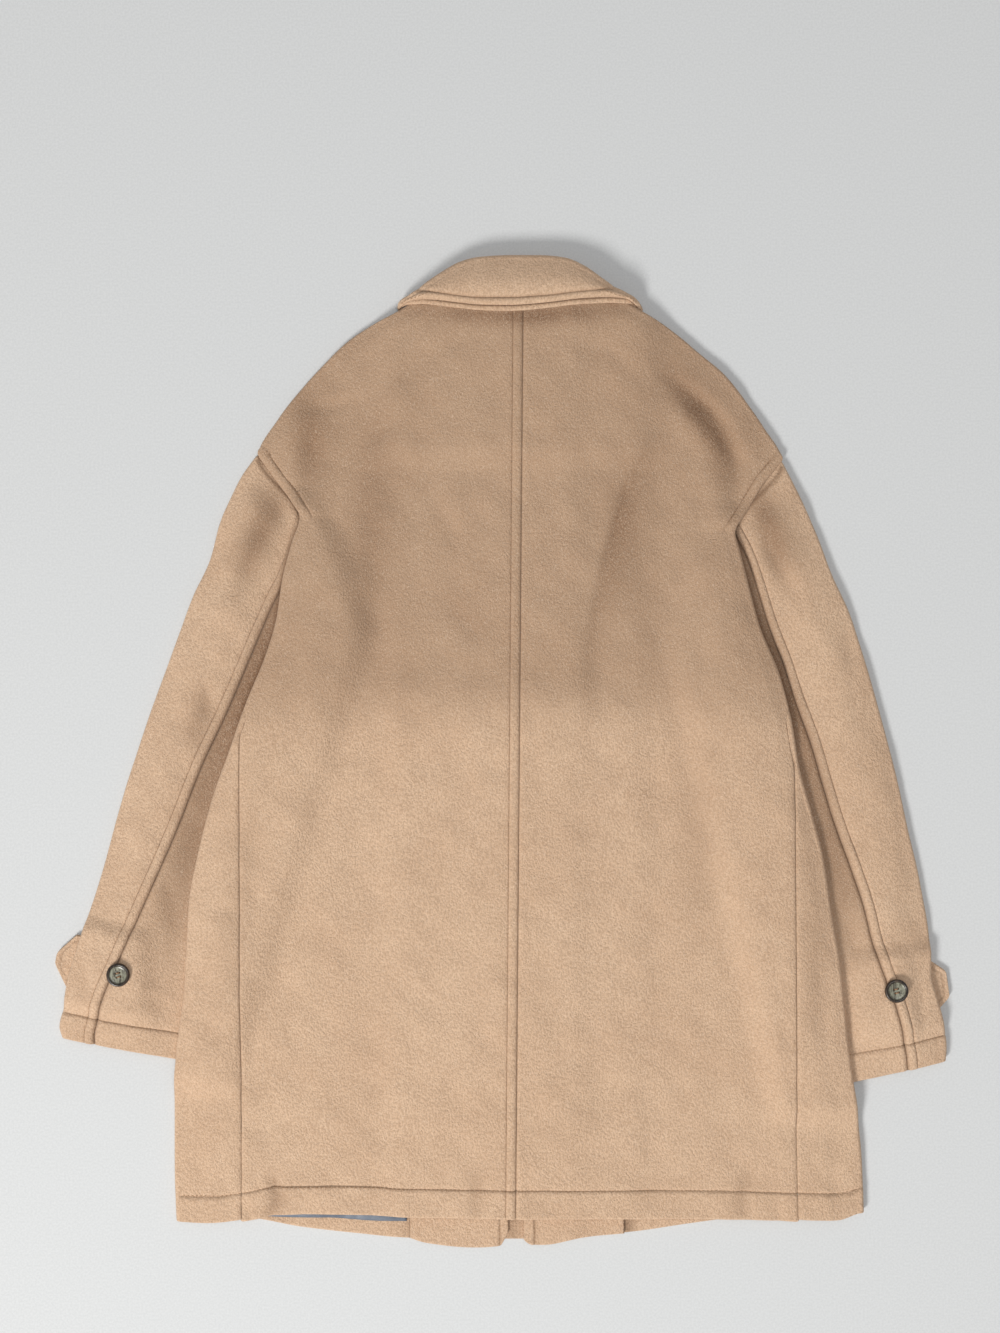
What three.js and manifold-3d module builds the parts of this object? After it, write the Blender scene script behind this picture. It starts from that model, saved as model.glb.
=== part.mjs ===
// A wool car coat laid face down: back up, collar at +Y, the sleeves down beside the body.
// Millimetres. The floor is z = 0, +Y runs from hem to collar, and the wearer's left is at -X.
import * as THREE from "three";
import { mergeVertices } from "three/addons/utils/BufferGeometryUtils.js";
import Module from "manifold-3d";

// ---- driving dimensions ----
const CLOTH = 2.2; // coat wool, one layer
const SEAM = 0.4; // space between two pieces along their seam
const LAYER = 0.5; // space between two layers that lie on each other
const BODY_HOLLOW = 3.0; // space between the fronts and the back
const SLEEVE_HOLLOW = 3.0; // space between a sleeve's two layers
const HEM_EXTRA = 1.0; // what a pressed turn-up adds on the inside of the back hem
const CUFF_EXTRA = 0.5; // and on the inside of a cuff
const LINING = 1.0;
const TAB = { length: 72, width: 51, point: 15, height: 4 };
const BUTTON = { radius: 11.2, height: 4.2, rim: 2.4, dish: 1.5, hole: 1.1, holeSpacing: 2.6 };
const PLY = CLOTH + LAYER; // height that one more layer adds to a stack
const SLEEVE_STACK = 2 * CLOTH + SLEEVE_HOLLOW + LAYER;
const COLLAR_END = 2 * CLOTH; // upper and under collar, sewn together
const RAMP = 30; // length over which a layer comes down beside what it lies on
const RAMP_CLEAR = 4; // a layer is still at its full height this far past the edge beneath it

// ---- the centre line and the front edges ----
const CENTRE_BACK = { topX: 20, topY: 419, hemX: 13, hemY: -441 };
const MIDDLE_X = 16; // the coat's own centre line
const FRONT_LEFT_EDGE = 58; // the left front passes under the right front up to here
const FRONT_RIGHT_EDGE = 21;
const FACING_TOP_Y = 392;
const FACING_LEFT = { outer: -89, inner: 6 };
const FACING_RIGHT = { outer: 117, inner: 21 };

// ---- outlines, a row for each height that shapes them; x is the outermost point of the cloth ----
const SIDES = {
  left: {
    out: -1,
    // y, body: side fold or shoulder fold of the body
    fold: [
      [-443, -311], [-390, -313], [-330, -313], [-287, -310], [-221, -302], [-184, -300], [-145, -298],
      [-91, -288], [-39, -274], [0, -260], [49, -243], [90, -226], [126, -214], [165, -207], [200, -198],
      [223, -192], [283, -233], [318, -214], [346, -192], [370, -170], [392, -147], [407, -124], [421, -84],
      [434, -58],
    ],
    // y, x of the side seam, which shows below 'seamTop'
    sideSeam: [[-443, -248], [26, -249]],
    seamTop: 26,
    // y, x of the armhole seam from the shoulder point to the underarm point
    armhole: [[110, -150], [165, -165], [200, -177], [223, -190], [245, -205], [259, -216], [283, -233]],
    // y, x of the sleeve's outer fold
    sleeveFold: [
      [-273, -420], [-262, -423], [-245, -419], [-221, -415], [-170, -400], [-121, -384], [-45, -363],
      [29, -339], [106, -311], [147, -296], [184, -279], [219, -269], [248, -256], [283, -233],
    ],
    // y, x of the sleeve's back seam
    backSeam: [
      [-273, -389], [-242, -382], [-198, -364], [-145, -341], [-71, -309], [-7, -284], [33, -265],
      [89, -241], [139, -220], [167, -206], [192, -198], [223, -190],
    ],
    underarm: { x: -150, y: 110 },
    cuff: { innerX: -273, innerY: -300 },
    armholeBow: 13,
    // the sleeve's rows: y on the outer fold, y on the inner fold, bow of the row towards the collar
    sleeveRows: [
      [283, 110, 1], [254, 98, 0.55], [219, 76, 0.25], [184, 52, 0.1], [140, 20, 0], [84, -24, 0],
      [20, -72, 0], [-45, -116, 0], [-100, -150, 0], [-138, -174, 0], [-168, -198, 0], [-197, -225, 0],
      [-227, -256, 0], [-256, -284, 0], [-273, -300, 0],
    ],
    bodyRows: [
      -443, -418, -370, -334, -304, -240, -180, -120, -60, 0, 26, 60, 110, 165, 190, 208, 226, 241, 256,
      264, 283, 294, 325, 360, 392, 412, 433,
    ],
    cuffEdge: -300,
    tab: { x: -427, y: -197, turn: -0.2, blunt: 2 },
    button: { x: -363, y: -210 },
    collarEnd: [
      // outer edge x, y, then roll x, y, from the neck's side to the collar point
      [-93, 417, -74, 431], [-93, 372, -50, 405], [-84, 334, -22, 384], [-62, 300, 9, 366],
    ],
  },
  right: {
    out: 1,
    fold: [
      [-443, 346], [-392, 344], [-349, 340], [-292, 331], [-245, 326], [-197, 321], [-151, 313], [-102, 306],
      [-59, 295], [-15, 283], [33, 275], [74, 264], [121, 245], [154, 236], [190, 227], [211, 222],
      [278, 268], [309, 251], [331, 236], [361, 212], [381, 188], [397, 169], [410, 146], [420, 116],
      [434, 86],
    ],
    sideSeam: [[-443, 282], [-349, 280], [26, 277]],
    seamTop: 26,
    armhole: [[100, 182], [150, 197], [185, 208], [211, 221], [232, 235], [257, 250], [278, 268]],
    sleeveFold: [
      [-295, 424], [-282, 425], [-252, 420], [-234, 415], [-212, 409], [-192, 409], [-121, 399], [-74, 388],
      [-32, 379], [45, 359], [90, 346], [133, 332], [170, 315], [205, 302], [246, 284], [278, 268],
    ],
    backSeam: [
      [-300, 387], [-267, 381], [-238, 373], [-188, 355], [-144, 344], [-105, 331], [-66, 317], [-26, 305],
      [12, 294], [47, 281], [84, 269], [118, 256], [154, 245], [186, 234], [211, 221],
    ],
    underarm: { x: 182, y: 100 },
    cuff: { innerX: 278, innerY: -328 },
    armholeBow: 11,
    sleeveRows: [
      [278, 100, 1], [246, 88, 0.55], [205, 62, 0.25], [170, 38, 0.1], [126, 6, 0], [74, -34, 0],
      [12, -82, 0], [-60, -132, 0], [-122, -172, 0], [-162, -202, 0], [-192, -224, 0], [-222, -252, 0],
      [-252, -284, 0], [-280, -312, 0], [-295, -328, 0],
    ],
    bodyRows: [
      -443, -418, -396, -362, -332, -270, -200, -130, -60, 0, 26, 60, 100, 150, 178, 196, 214, 229, 244,
      264, 278, 294, 325, 360, 392, 412, 433,
    ],
    cuffEdge: -328,
    tab: { x: 427, y: -222, turn: 0.14, blunt: 9 },
    button: { x: 373, y: -225 },
    collarEnd: [
      [126, 416, 105, 431], [125, 372, 82, 405], [116, 334, 54, 384], [94, 300, 23, 366],
    ],
  },
};

// y of each lower edge along x
const BACK_HEM = [
  [-311, -447], [-275, -447], [-248, -443], [-210, -439], [-90, -441], [90, -441.5], [225, -443],
  [282, -445], [330, -446], [346, -440],
];
const FRONT_HEM = [
  [-311, -446], [-249, -444], [-192, -452], [-135, -458], [-90, -462], [22, -463], [117, -457], [131, -455],
  [178, -449], [226, -445], [346, -440],
];
const FACING_HEM = [
  [-89, -461], [-73, -466], [-26, -470.5], [-2, -469], [6, -461], [22, -467], [40, -467], [74, -461],
  [117, -457],
];

// The collar's fall, a row for each section across it: the upper collar's edge, the under collar's
// edge and the roll, each x, y.
const COLLAR = [
  { edge: [-77, 430.5], under: [-77, 426.5], roll: [-84, 436.5] },
  { edge: [-57, 428.5], under: [-57, 424.5], roll: [-70, 447] },
  { edge: [-38, 426], under: [-38, 422], roll: [-54, 458] },
  { edge: [-22, 424], under: [-22, 420], roll: [-38, 467] },
  { edge: [-10, 423.5], under: [-10, 419.5], roll: [-19, 471] },
  { edge: [8, 423], under: [8, 419], roll: [8, 472] },
  { edge: [28, 424], under: [28, 420], roll: [36, 472] },
  { edge: [45, 426], under: [45, 422], roll: [60, 471] },
  { edge: [62, 428], under: [62, 424], roll: [78, 463] },
  { edge: [82, 430.5], under: [82, 426.5], roll: [95, 450] },
  { edge: [104, 432], under: [104, 428], roll: [111, 440] },
];
const NECK_SEAM_Y = 434;
const FRONT_NECK_DROP = 84; // how far the front neckline dips below the back one
const COLLAR_SAG = 6.5; // the roll comes down towards the floor past the neck seam

const COLOURS = {
  wool: { color: 0xcdad8d, roughness: 0.95, metalness: 0 },
  lining: { color: 0x6f7884, roughness: 0.6, metalness: 0 },
  horn: { color: 0x3b332c, roughness: 0.35, metalness: 0 },
};

// ---- small helpers ----
const clamp = (v, low = 0, high = 1) => Math.min(high, Math.max(low, v));
const lerp = (a, b, t) => a + (b - a) * t;
const mean = (a, b) => (a + b) / 2;

// Straight-line reading of a table of [key, value] rows.
function read(table, key) {
  const rising = table[0][0] < table[table.length - 1][0];
  const rows = rising ? table : [...table].reverse();
  if (key <= rows[0][0]) return rows[0][1];
  for (let i = 1; i < rows.length; i++) {
    const [k0, v0] = rows[i - 1];
    const [k1, v1] = rows[i];
    if (key <= k1) return lerp(v0, v1, (key - k0) / (k1 - k0));
  }
  return rows[rows.length - 1][1];
}

// 1 up to 'full', falling to 0 at 'full + RAMP'.
const ramp = (distance, full = RAMP_CLEAR, length = RAMP) => clamp(1 - (distance - full) / length);

const centreBackX = (y) =>
  lerp(CENTRE_BACK.hemX, CENTRE_BACK.topX, (y - CENTRE_BACK.hemY) / (CENTRE_BACK.topY - CENTRE_BACK.hemY));

// ---- where the layers lie: the height of each layer's underside ----

// x of the sleeve's hidden inner fold, with the hidden part of the armhole seam above it
function sleeveInnerX(side, y) {
  const { underarm, cuff, armhole } = side;
  if (y > underarm.y) return read(armhole, y);
  return lerp(cuff.innerX, underarm.x, (y - cuff.innerY) / (underarm.y - cuff.innerY));
}

// The height at which the sleeve's back seam meets the armhole seam.
const seamsMeetY = (side) => side.backSeam[side.backSeam.length - 1][0];

// How far the sleeve lifts the body at this place, 0 to 1.
const ARMHOLE_CLEAR = 3;
function sleeveBelow(side, x, y) {
  const top = seamsMeetY(side);
  const inwards = (sleeveInnerX(side, clamp(y, side.cuffEdge, top)) - x) * side.out;
  return ramp(inwards) * ramp(y - top, ARMHOLE_CLEAR) * ramp(side.cuffEdge - y);
}

// The hidden collar ends lift the top of the fronts.
const COLLAR_END_FOOT_Y = 264;
const COLLAR_END_HALF = 120;
const COLLAR_END_LEAD = 12; // the panels' stations follow the collar ends from this far below them
const collarEndBelow = (x, y) =>
  clamp((y - COLLAR_END_FOOT_Y) / RAMP) * clamp(1 - (Math.abs(x - MIDDLE_X) - COLLAR_END_HALF) / RAMP);

const frontBase = (side, x, y) =>
  sleeveBelow(side, x, y) * SLEEVE_STACK + collarEndBelow(x, y) * (COLLAR_END + LAYER);

// The right front lies on the left one where they overlap.
const OVERLAP_TOP = FRONT_LEFT_EDGE + RAMP_CLEAR;
const overlapBelow = (x) => ramp(x - FRONT_LEFT_EDGE);
const frontZ = (side, x, y) => frontBase(side, x, y) + (side.out > 0 ? overlapBelow(x) * PLY : 0);

// The back lies over one facing on each side, and over one front more at the overlap.
function backZ(side, x, y) {
  const facing = x < MIDDLE_X ? ramp(FACING_LEFT.outer - x) : ramp(x - FACING_RIGHT.outer);
  const start = FACING_LEFT.outer + RAMP_CLEAR;
  const bridge = clamp((x - start) / (FRONT_RIGHT_EDGE - start));
  const overlap = bridge * overlapBelow(x);
  return frontBase(side, x, y) + CLOTH + (facing + overlap) * PLY + BODY_HOLLOW;
}

const TAB_LIFT = TAB.height + 2 * LAYER;
const TAB_RAMP = 15;
const TAB_END_CLEAR = 10;
const TAB_SIDE_CLEAR = 8;
const tabBelow = (side, x, y) => {
  const inwards = (side.tab.x - x) * side.out - TAB.length;
  const beside = Math.abs(y - tabCentreY(side, x)) - TAB.width / 2;
  return ramp(inwards, TAB_END_CLEAR, TAB_RAMP) * ramp(beside, TAB_SIDE_CLEAR, TAB_RAMP);
};
const tabCentreY = (side, x) => side.tab.y - Math.abs(side.tab.x - x) * Math.abs(side.tab.turn);
const sleeveLowZ = (side, x, y) => tabBelow(side, x, y) * TAB_LIFT;
const sleeveHighZ = (side, x, y) => sleeveLowZ(side, x, y) + CLOTH + SLEEVE_HOLLOW;

// ---- cloth walls ----

// A wall of cloth from a grid of points on its middle surface, moved out along the surface's own normals.
// 'inside(i, j)' is what a turn-up adds on the side that the normal points away from.
function clothWall(rows, { half = CLOTH / 2, inside = () => 0 } = {}) {
  const m = rows.length;
  const n = rows[0].length;
  const positions = [];
  const at = (i, j) => rows[clamp(i, 0, m - 1)][clamp(j, 0, n - 1)];
  const skins = [1, -1].map((face) =>
    rows.map((row, i) =>
      row.map((p, j) => {
        const along = at(i, j + 1).clone().sub(at(i, j - 1));
        const across = at(i + 1, j).clone().sub(at(i - 1, j));
        const normal = along.cross(across).normalize();
        const reach = face > 0 ? half : -half - inside(i, j);
        positions.push(...p.clone().addScaledVector(normal, reach).toArray());
        return positions.length / 3 - 1;
      }),
    ),
  );
  const [top, bottom] = skins;
  const index = [];
  const quad = (a, b, c, d) => index.push(a, b, c, a, c, d);
  for (let i = 0; i < m - 1; i++) {
    for (let j = 0; j < n - 1; j++) {
      quad(top[i][j], top[i][j + 1], top[i + 1][j + 1], top[i + 1][j]);
      quad(bottom[i][j], bottom[i + 1][j], bottom[i + 1][j + 1], bottom[i][j + 1]);
    }
    quad(top[i][0], top[i + 1][0], bottom[i + 1][0], bottom[i][0]);
    quad(top[i][n - 1], bottom[i][n - 1], bottom[i + 1][n - 1], top[i + 1][n - 1]);
  }
  for (let j = 0; j < n - 1; j++) {
    quad(top[0][j], bottom[0][j], bottom[0][j + 1], top[0][j + 1]);
    quad(top[m - 1][j], top[m - 1][j + 1], bottom[m - 1][j + 1], bottom[m - 1][j]);
  }
  const geometry = new THREE.BufferGeometry();
  geometry.setAttribute("position", new THREE.Float32BufferAttribute(positions, 3));
  geometry.setIndex(index);
  return geometry;
}

const root = new THREE.Group();
function add(name, geometry, finish) {
  const mesh = new THREE.Mesh(geometry, new THREE.MeshStandardMaterial(finish));
  mesh.name = name;
  root.add(mesh);
  return mesh;
}

// A grid whose rows run against the order that makes the normal point up is turned round.
const facingUp = (rows, side) => (side.out > 0 ? rows : rows.map((row) => [...row].reverse()));

// ---- the body ----

// Share of the half turn round the fold that each panel takes, and whether the panel reaches the fold at all.
// The side belongs to the front, the armhole is open, and the shoulder is shared.
const NO_SHARE = 0.02;
const SHOULDER_SHARE = 0.44;
const ARMHOLE_MOUTH = 4; // the armhole opens this far above the place where the seams meet
const CLOSING = 40; // length over which the front takes the whole fold below the armhole
function foldShare(side, y) {
  const seamsMeet = side.armhole[3][0];
  const shoulderY = side.armhole[side.armhole.length - 1][0];
  const edge = read(side.fold, y);
  if (y <= seamsMeet + ARMHOLE_MOUTH) {
    const front = clamp((seamsMeet + ARMHOLE_MOUTH / 2 - y) / CLOSING, NO_SHARE, 1);
    return { front, back: NO_SHARE, edge, open: false };
  }
  if (y <= shoulderY) {
    const seam = read(side.armhole, y) - side.out * SEAM;
    return { front: NO_SHARE, back: NO_SHARE, edge: seam, open: true };
  }
  return { front: SHOULDER_SHARE, back: SHOULDER_SHARE, edge, open: false };
}

// The two halves of the body's section at one height share this fold: its centre, radius and levels.
const FOLD_PROBE = 4; // the levels are read this far inside the edge
function bodyFold(side, y) {
  const share = foldShare(side, y);
  const probe = share.edge - side.out * FOLD_PROBE;
  const low = frontZ(side, probe, y) + CLOTH / 2;
  const high = backZ(side, probe, y) + CLOTH / 2;
  const radius = (high - low) / 2;
  const inset = share.open ? SEAM : radius + CLOTH / 2;
  return { ...share, low, high, radius, x: share.edge - side.out * inset, z: mean(low, high) };
}

const FOLD_STEPS = 4;
const STUB = 0.2; // what is left of a panel's part past the fold, where the panel ends before it
// Points round the fold, from the lower level up for a front or from the upper level down for a back.
function roundFold(side, fold, y, part) {
  const share = part === "front" ? fold.front : fold.back;
  const start = part === "front" ? -Math.PI / 2 : Math.PI / 2;
  const turn = (part === "front" ? 1 : -1) * Math.PI * share;
  const points = [];
  for (let k = 1; k <= FOLD_STEPS; k++) {
    const a = start + (turn * k) / FOLD_STEPS;
    points.push(
      new THREE.Vector3(
        fold.x + side.out * fold.radius * Math.cos(a),
        y,
        fold.z + fold.radius * Math.sin(a),
      ),
    );
  }
  const end = start + turn;
  const way = part === "front" ? 1 : -1;
  const onward = new THREE.Vector3(-side.out * way * Math.sin(end), 0, way * Math.cos(end));
  return { points, onward };
}

// Stations between the centre and the fold, kept in order and at least 'STEP' apart.
const STEP = 5;
function inOrder(side, stations, last) {
  const kept = [...stations, last];
  for (let k = kept.length - 2; k > 0; k--) {
    const limit = kept[k + 1] - side.out * STEP;
    kept[k] = side.out > 0 ? Math.min(kept[k], limit) : Math.max(kept[k], limit);
  }
  return kept;
}

// The sleeve's ramp at low heights, and the collar end's ramp near the neck.
function rampStations(side, y) {
  if (y > COLLAR_END_FOOT_Y - COLLAR_END_LEAD)
    return [MIDDLE_X + side.out * COLLAR_END_HALF, MIDDLE_X + side.out * (COLLAR_END_HALF + RAMP)];
  const inner = sleeveInnerX(side, Math.min(y, seamsMeetY(side)));
  return [inner - side.out * (RAMP + RAMP_CLEAR), inner - side.out * RAMP_CLEAR];
}

// The side seam lies on the top face at low heights, and just inside the fold above that.
function sideSeamX(side, fold, y) {
  const inside = fold.x - side.out * CLOTH;
  const seam = read(side.sideSeam, y);
  return side.out > 0 ? Math.min(seam, inside) : Math.max(seam, inside);
}

// Lower edges follow their own line, and the shift fades out above the hem.
const HEM_FADE = 90;
const hemY = (table, x, y, side) => {
  const base = side.bodyRows[0];
  return y + (read(table, x) - base) * clamp(1 - (y - base) / HEM_FADE);
};
// The front neckline dips towards the middle.
const NECK_FADE = 190;
const NECK_HALF = 96;
function neckY(x, y) {
  const dip = FRONT_NECK_DROP * clamp(1 - ((x - MIDDLE_X) / NECK_HALF) ** 2);
  return y - dip * clamp(1 - (NECK_SEAM_Y - y) / NECK_FADE) ** 1.5;
}

function frontPanel(side) {
  const left = side.out < 0;
  const inner = left ? FRONT_LEFT_EDGE : FRONT_RIGHT_EDGE;
  const near = left ? [MIDDLE_X - 36] : [OVERLAP_TOP, OVERLAP_TOP + RAMP];
  const rows = side.bodyRows.map((y) => {
    const fold = bodyFold(side, y);
    const flat = inOrder(side, [inner, ...near, ...rampStations(side, y)], fold.x);
    const low = flat.map((x) => {
      const py = neckY(x, hemY(FRONT_HEM, x, y, side));
      return new THREE.Vector3(x, py, frontZ(side, x, y) + CLOTH / 2);
    });
    low[low.length - 1].z = fold.low;
    const hemShift = hemY(FRONT_HEM, fold.x, y, side);
    const { points: bend, onward } = roundFold(side, fold, hemShift, "front");
    const last = bend[bend.length - 1];
    // past the fold the front goes on over the top as far as the side seam
    const seamX = sideSeamX(side, fold, y) + (side.out * SEAM) / 2;
    const over = [0.5, 1].map((t) => {
      if (fold.front < 1) return last.clone().addScaledVector(onward, STUB * t);
      const x = lerp(fold.x, seamX, t);
      return new THREE.Vector3(x, hemY(BACK_HEM, x, y, side), backZ(side, x, y) + CLOTH / 2);
    });
    return [...low, ...bend, ...over];
  });
  // the normal of this grid points into the coat on the floor layer, so the rows are turned to point out
  return clothWall(facingUp(rows, { out: -side.out }));
}

function backPanel(side) {
  const rows = side.bodyRows.map((y) => {
    const fold = bodyFold(side, y);
    const centre = centreBackX(y) + (side.out * SEAM) / 2;
    let edge = fold.x;
    if (!fold.open && fold.back === NO_SHARE) edge = sideSeamX(side, fold, y) - (side.out * SEAM) / 2;
    const facing = side.out < 0 ? FACING_LEFT.outer : FACING_RIGHT.outer;
    const bridge = side.out < 0 ? [] : [OVERLAP_TOP];
    const foot = facing + side.out * (RAMP + RAMP_CLEAR);
    const near = [centre, ...bridge, facing - side.out * RAMP_CLEAR, foot];
    const flat = inOrder(side, [...near, ...rampStations(side, y)], edge);
    const high = flat.map(
      (x) => new THREE.Vector3(x, hemY(BACK_HEM, x, y, side), backZ(side, x, y) + CLOTH / 2),
    );
    const shoulder = fold.back > NO_SHARE;
    if (shoulder) high[high.length - 1].z = fold.high;
    const bend = shoulder
      ? roundFold(side, fold, y, "back").points.filter((_, k) => k % 2 === 1)
      : [0.5, 1].map((t) => high[high.length - 1].clone().add(new THREE.Vector3(side.out * STUB * t, 0, 0)));
    return [...high, ...bend];
  });
  const inside = (i) => (i <= 1 ? HEM_EXTRA : 0);
  return clothWall(facingUp(rows, side), { inside });
}

// ---- what lies inside the fronts ----
function facing(side) {
  const { outer, inner } = side.out < 0 ? FACING_LEFT : FACING_RIGHT;
  const near = side.out < 0 ? [mean(inner, outer)] : [OVERLAP_TOP, OVERLAP_TOP + RAMP];
  const across = [inner, ...near, outer];
  const rows = side.bodyRows
    .filter((y) => y <= FACING_TOP_Y)
    .map((y) =>
      across.map((x) => {
        const lift = frontZ(side, x, y) + PLY + CLOTH / 2;
        return new THREE.Vector3(x, neckY(x, hemY(FACING_HEM, x, y, side)), lift);
      }),
    );
  return clothWall(facingUp(rows, side));
}

const LINING_ROWS = [-446, -415, -385];
const LINING_ACROSS = [FACING_LEFT.outer - 2, -130, -175, -236];
function lining(side) {
  const rows = LINING_ROWS.map((y) =>
    LINING_ACROSS.map((x) => new THREE.Vector3(x, y, frontZ(side, x, y) + PLY + LINING / 2)),
  );
  return clothWall(facingUp(rows, side), { half: LINING / 2 });
}

// ---- sleeves ----

// One row across a sleeve, from its outer fold to its inner fold.
function sleeveRow(side, [outerY, innerY, bow]) {
  const outer = new THREE.Vector2(read(side.sleeveFold, outerY), outerY);
  const inner = new THREE.Vector2(sleeveInnerX(side, innerY), innerY);
  const along = inner.clone().sub(outer);
  const width = along.length();
  const lift = new THREE.Vector2(-side.out * -along.y, side.out * -along.x).normalize();
  if (lift.y < 0) lift.negate();
  const point = (distance) => {
    const t = distance / width;
    const bowed = bow * side.armholeBow * 4 * t * (1 - t);
    return outer.clone().lerp(inner, t).addScaledVector(lift, bowed);
  };
  return { outer, inner, along: along.normalize(), width, point, outerY };
}

// Where a sleeve row crosses the back seam, measured from the outer fold.
function backSeamAt(side, row) {
  let low = 0;
  let high = row.width;
  for (let k = 0; k < 30; k++) {
    const middle = mean(low, high);
    const p = row.point(middle);
    const outside = (p.x - read(side.backSeam, p.y)) * side.out > 0;
    if (outside) low = middle;
    else high = middle;
  }
  return low;
}

const SLEEVE_RADIUS = (CLOTH + SLEEVE_HOLLOW) / 2;
const TAB_NEAR = 60; // the tab lies under this distance from the outer fold in every row it meets
const TAB_FULL = 66; // up to this distance from the outer fold the tab lifts the sleeve in full
const TAB_FOOT = 94; // and past this one not at all
const FRONT_SEAM_SHARE = 0.55; // the sleeve's hidden front seam, across the lower layer

// A point on the sleeve's middle surface: on the upper or lower layer, or round one of its folds.
function sleevePoint(side, row, distance, level) {
  const p = row.point(clamp(distance, 0, row.width));
  const z = (level === "high" ? sleeveHighZ : sleeveLowZ)(side, p.x, p.y) + CLOTH / 2;
  return new THREE.Vector3(p.x, p.y, z);
}

function sleeveFoldPoints(side, row, at) {
  const inset = SLEEVE_RADIUS + CLOTH / 2;
  const distance = at === "outer" ? inset : row.width - inset;
  const low = sleevePoint(side, row, distance, "low");
  const outwards = row.along.clone().multiplyScalar(at === "outer" ? -1 : 1);
  return [0, 1, 2, 3, 4].map((k) => {
    const a = Math.PI / 2 - (Math.PI * k) / 4; // from the upper layer round to the lower one
    const reach = SLEEVE_RADIUS * Math.cos(a);
    return new THREE.Vector3(
      low.x + outwards.x * reach,
      low.y + outwards.y * reach,
      low.z + SLEEVE_RADIUS * (1 + Math.sin(a)),
    );
  });
}

// A panel that goes from the back seam on top, round one fold, to the front seam underneath.
function sleevePanel(side, at) {
  const inset = SLEEVE_RADIUS + CLOTH / 2;
  const rows = side.sleeveRows.map((spec, i) => {
    const row = sleeveRow(side, spec);
    const seam = backSeamAt(side, row);
    const front = row.width * FRONT_SEAM_SHARE;
    const outer = at === "outer";
    const half = SEAM / 2;
    const topFrom = outer ? seam - half : seam + half;
    const topTo = outer ? inset : row.width - inset;
    const lowTo = outer ? front - half : front + half;
    const high = outer
      ? [topFrom, mean(topFrom, topTo)]
      : [topFrom, Math.max(TAB_FULL, topFrom + STEP), Math.max(TAB_FOOT, topFrom + 3 * STEP)];
    const lowSteps = outer
      ? [TAB_NEAR / 2, TAB_NEAR, lowTo]
      : [lerp(topTo, lowTo, 0.35), Math.max(TAB_FOOT, lowTo + STEP), lowTo];
    const top = high.map((distance) => sleevePoint(side, row, distance, "high"));
    const low = lowSteps.map((distance) => sleevePoint(side, row, distance, "low"));
    const points = [...top, ...sleeveFoldPoints(side, row, at), ...low];
    // the first row stays clear of the body at the armhole seam
    if (i === 0) points.forEach((p) => p.add(new THREE.Vector3(side.out * 3 * SEAM, -3 * SEAM, 0)));
    return points;
  });
  const last = rows.length - 1;
  const inside = (i) => (i >= last - 1 ? CUFF_EXTRA : 0);
  const turned = (at === "outer") === side.out > 0;
  return clothWall(turned ? rows.map((row) => [...row].reverse()) : rows, { inside });
}

// ---- sleeve tabs and buttons ----
function cuffTab(side) {
  const { length, width, point, height } = TAB;
  const half = width / 2;
  const shape = new THREE.Shape();
  shape.moveTo(0, side.tab.blunt);
  shape.quadraticCurveTo(0, side.tab.blunt + 3, 2, side.tab.blunt + 5);
  shape.lineTo(point, half);
  shape.lineTo(length, half);
  shape.lineTo(length, -half);
  shape.lineTo(point, -half);
  shape.lineTo(2, -side.tab.blunt - 5);
  shape.quadraticCurveTo(0, -side.tab.blunt - 3, 0, -side.tab.blunt);
  return new THREE.ExtrudeGeometry(shape, { depth: height, bevelEnabled: false, curveSegments: 3 });
}

const wasm = await Module();
wasm.setup();
function toSolid(geometry) {
  const bare = geometry.clone();
  bare.deleteAttribute("normal");
  bare.deleteAttribute("uv");
  const merged = mergeVertices(bare, 1e-4);
  const vertProperties = merged.attributes.position.array;
  return new wasm.Manifold(
    new wasm.Mesh({ numProp: 3, vertProperties, triVerts: new Uint32Array(merged.index.array) }),
  );
}
function fromSolid(solid) {
  const mesh = solid.getMesh();
  const geometry = new THREE.BufferGeometry();
  geometry.setAttribute("position", new THREE.BufferAttribute(mesh.vertProperties, 3));
  geometry.setIndex(new THREE.BufferAttribute(mesh.triVerts, 1));
  return geometry;
}

// A dished horn button with a raised rim and four holes, standing on z = 0.
function button() {
  const { radius, height, rim, dish, hole, holeSpacing } = BUTTON;
  const profile = [
    [0, 0], [radius - 2, 0], [radius, height * 0.45], [radius - 0.5, height], [radius - rim, height],
    [radius - rim - 1.2, height - dish], [0, height - dish],
  ].map(([r, z]) => new THREE.Vector2(r, z));
  const body = new THREE.LatheGeometry(profile, 28).rotateX(Math.PI / 2);
  let solid = toSolid(body);
  if (solid.volume() < 0) solid = toSolid(body.clone().scale(1, 1, -1).translate(0, 0, height));
  for (let k = 0; k < 4; k++) {
    const a = Math.PI / 4 + (Math.PI / 2) * k;
    const drill = new THREE.CylinderGeometry(hole, hole, 3 * height, 10).rotateX(Math.PI / 2);
    drill.translate(holeSpacing * Math.cos(a), holeSpacing * Math.sin(a), 0);
    solid = solid.subtract(toSolid(drill));
  }
  return fromSolid(solid);
}

// ---- collar ----
const COLLAR_CLEAR = 0.3;
const COLLAR_PLY = CLOTH + 1.0;
const UNDER_RADIUS = 1.5;
const FALL_RADIUS = UNDER_RADIUS + COLLAR_PLY;
const COLLAR_LEVEL = { from: -70, to: 98 }; // the collar lies on the back's level between these

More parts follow.
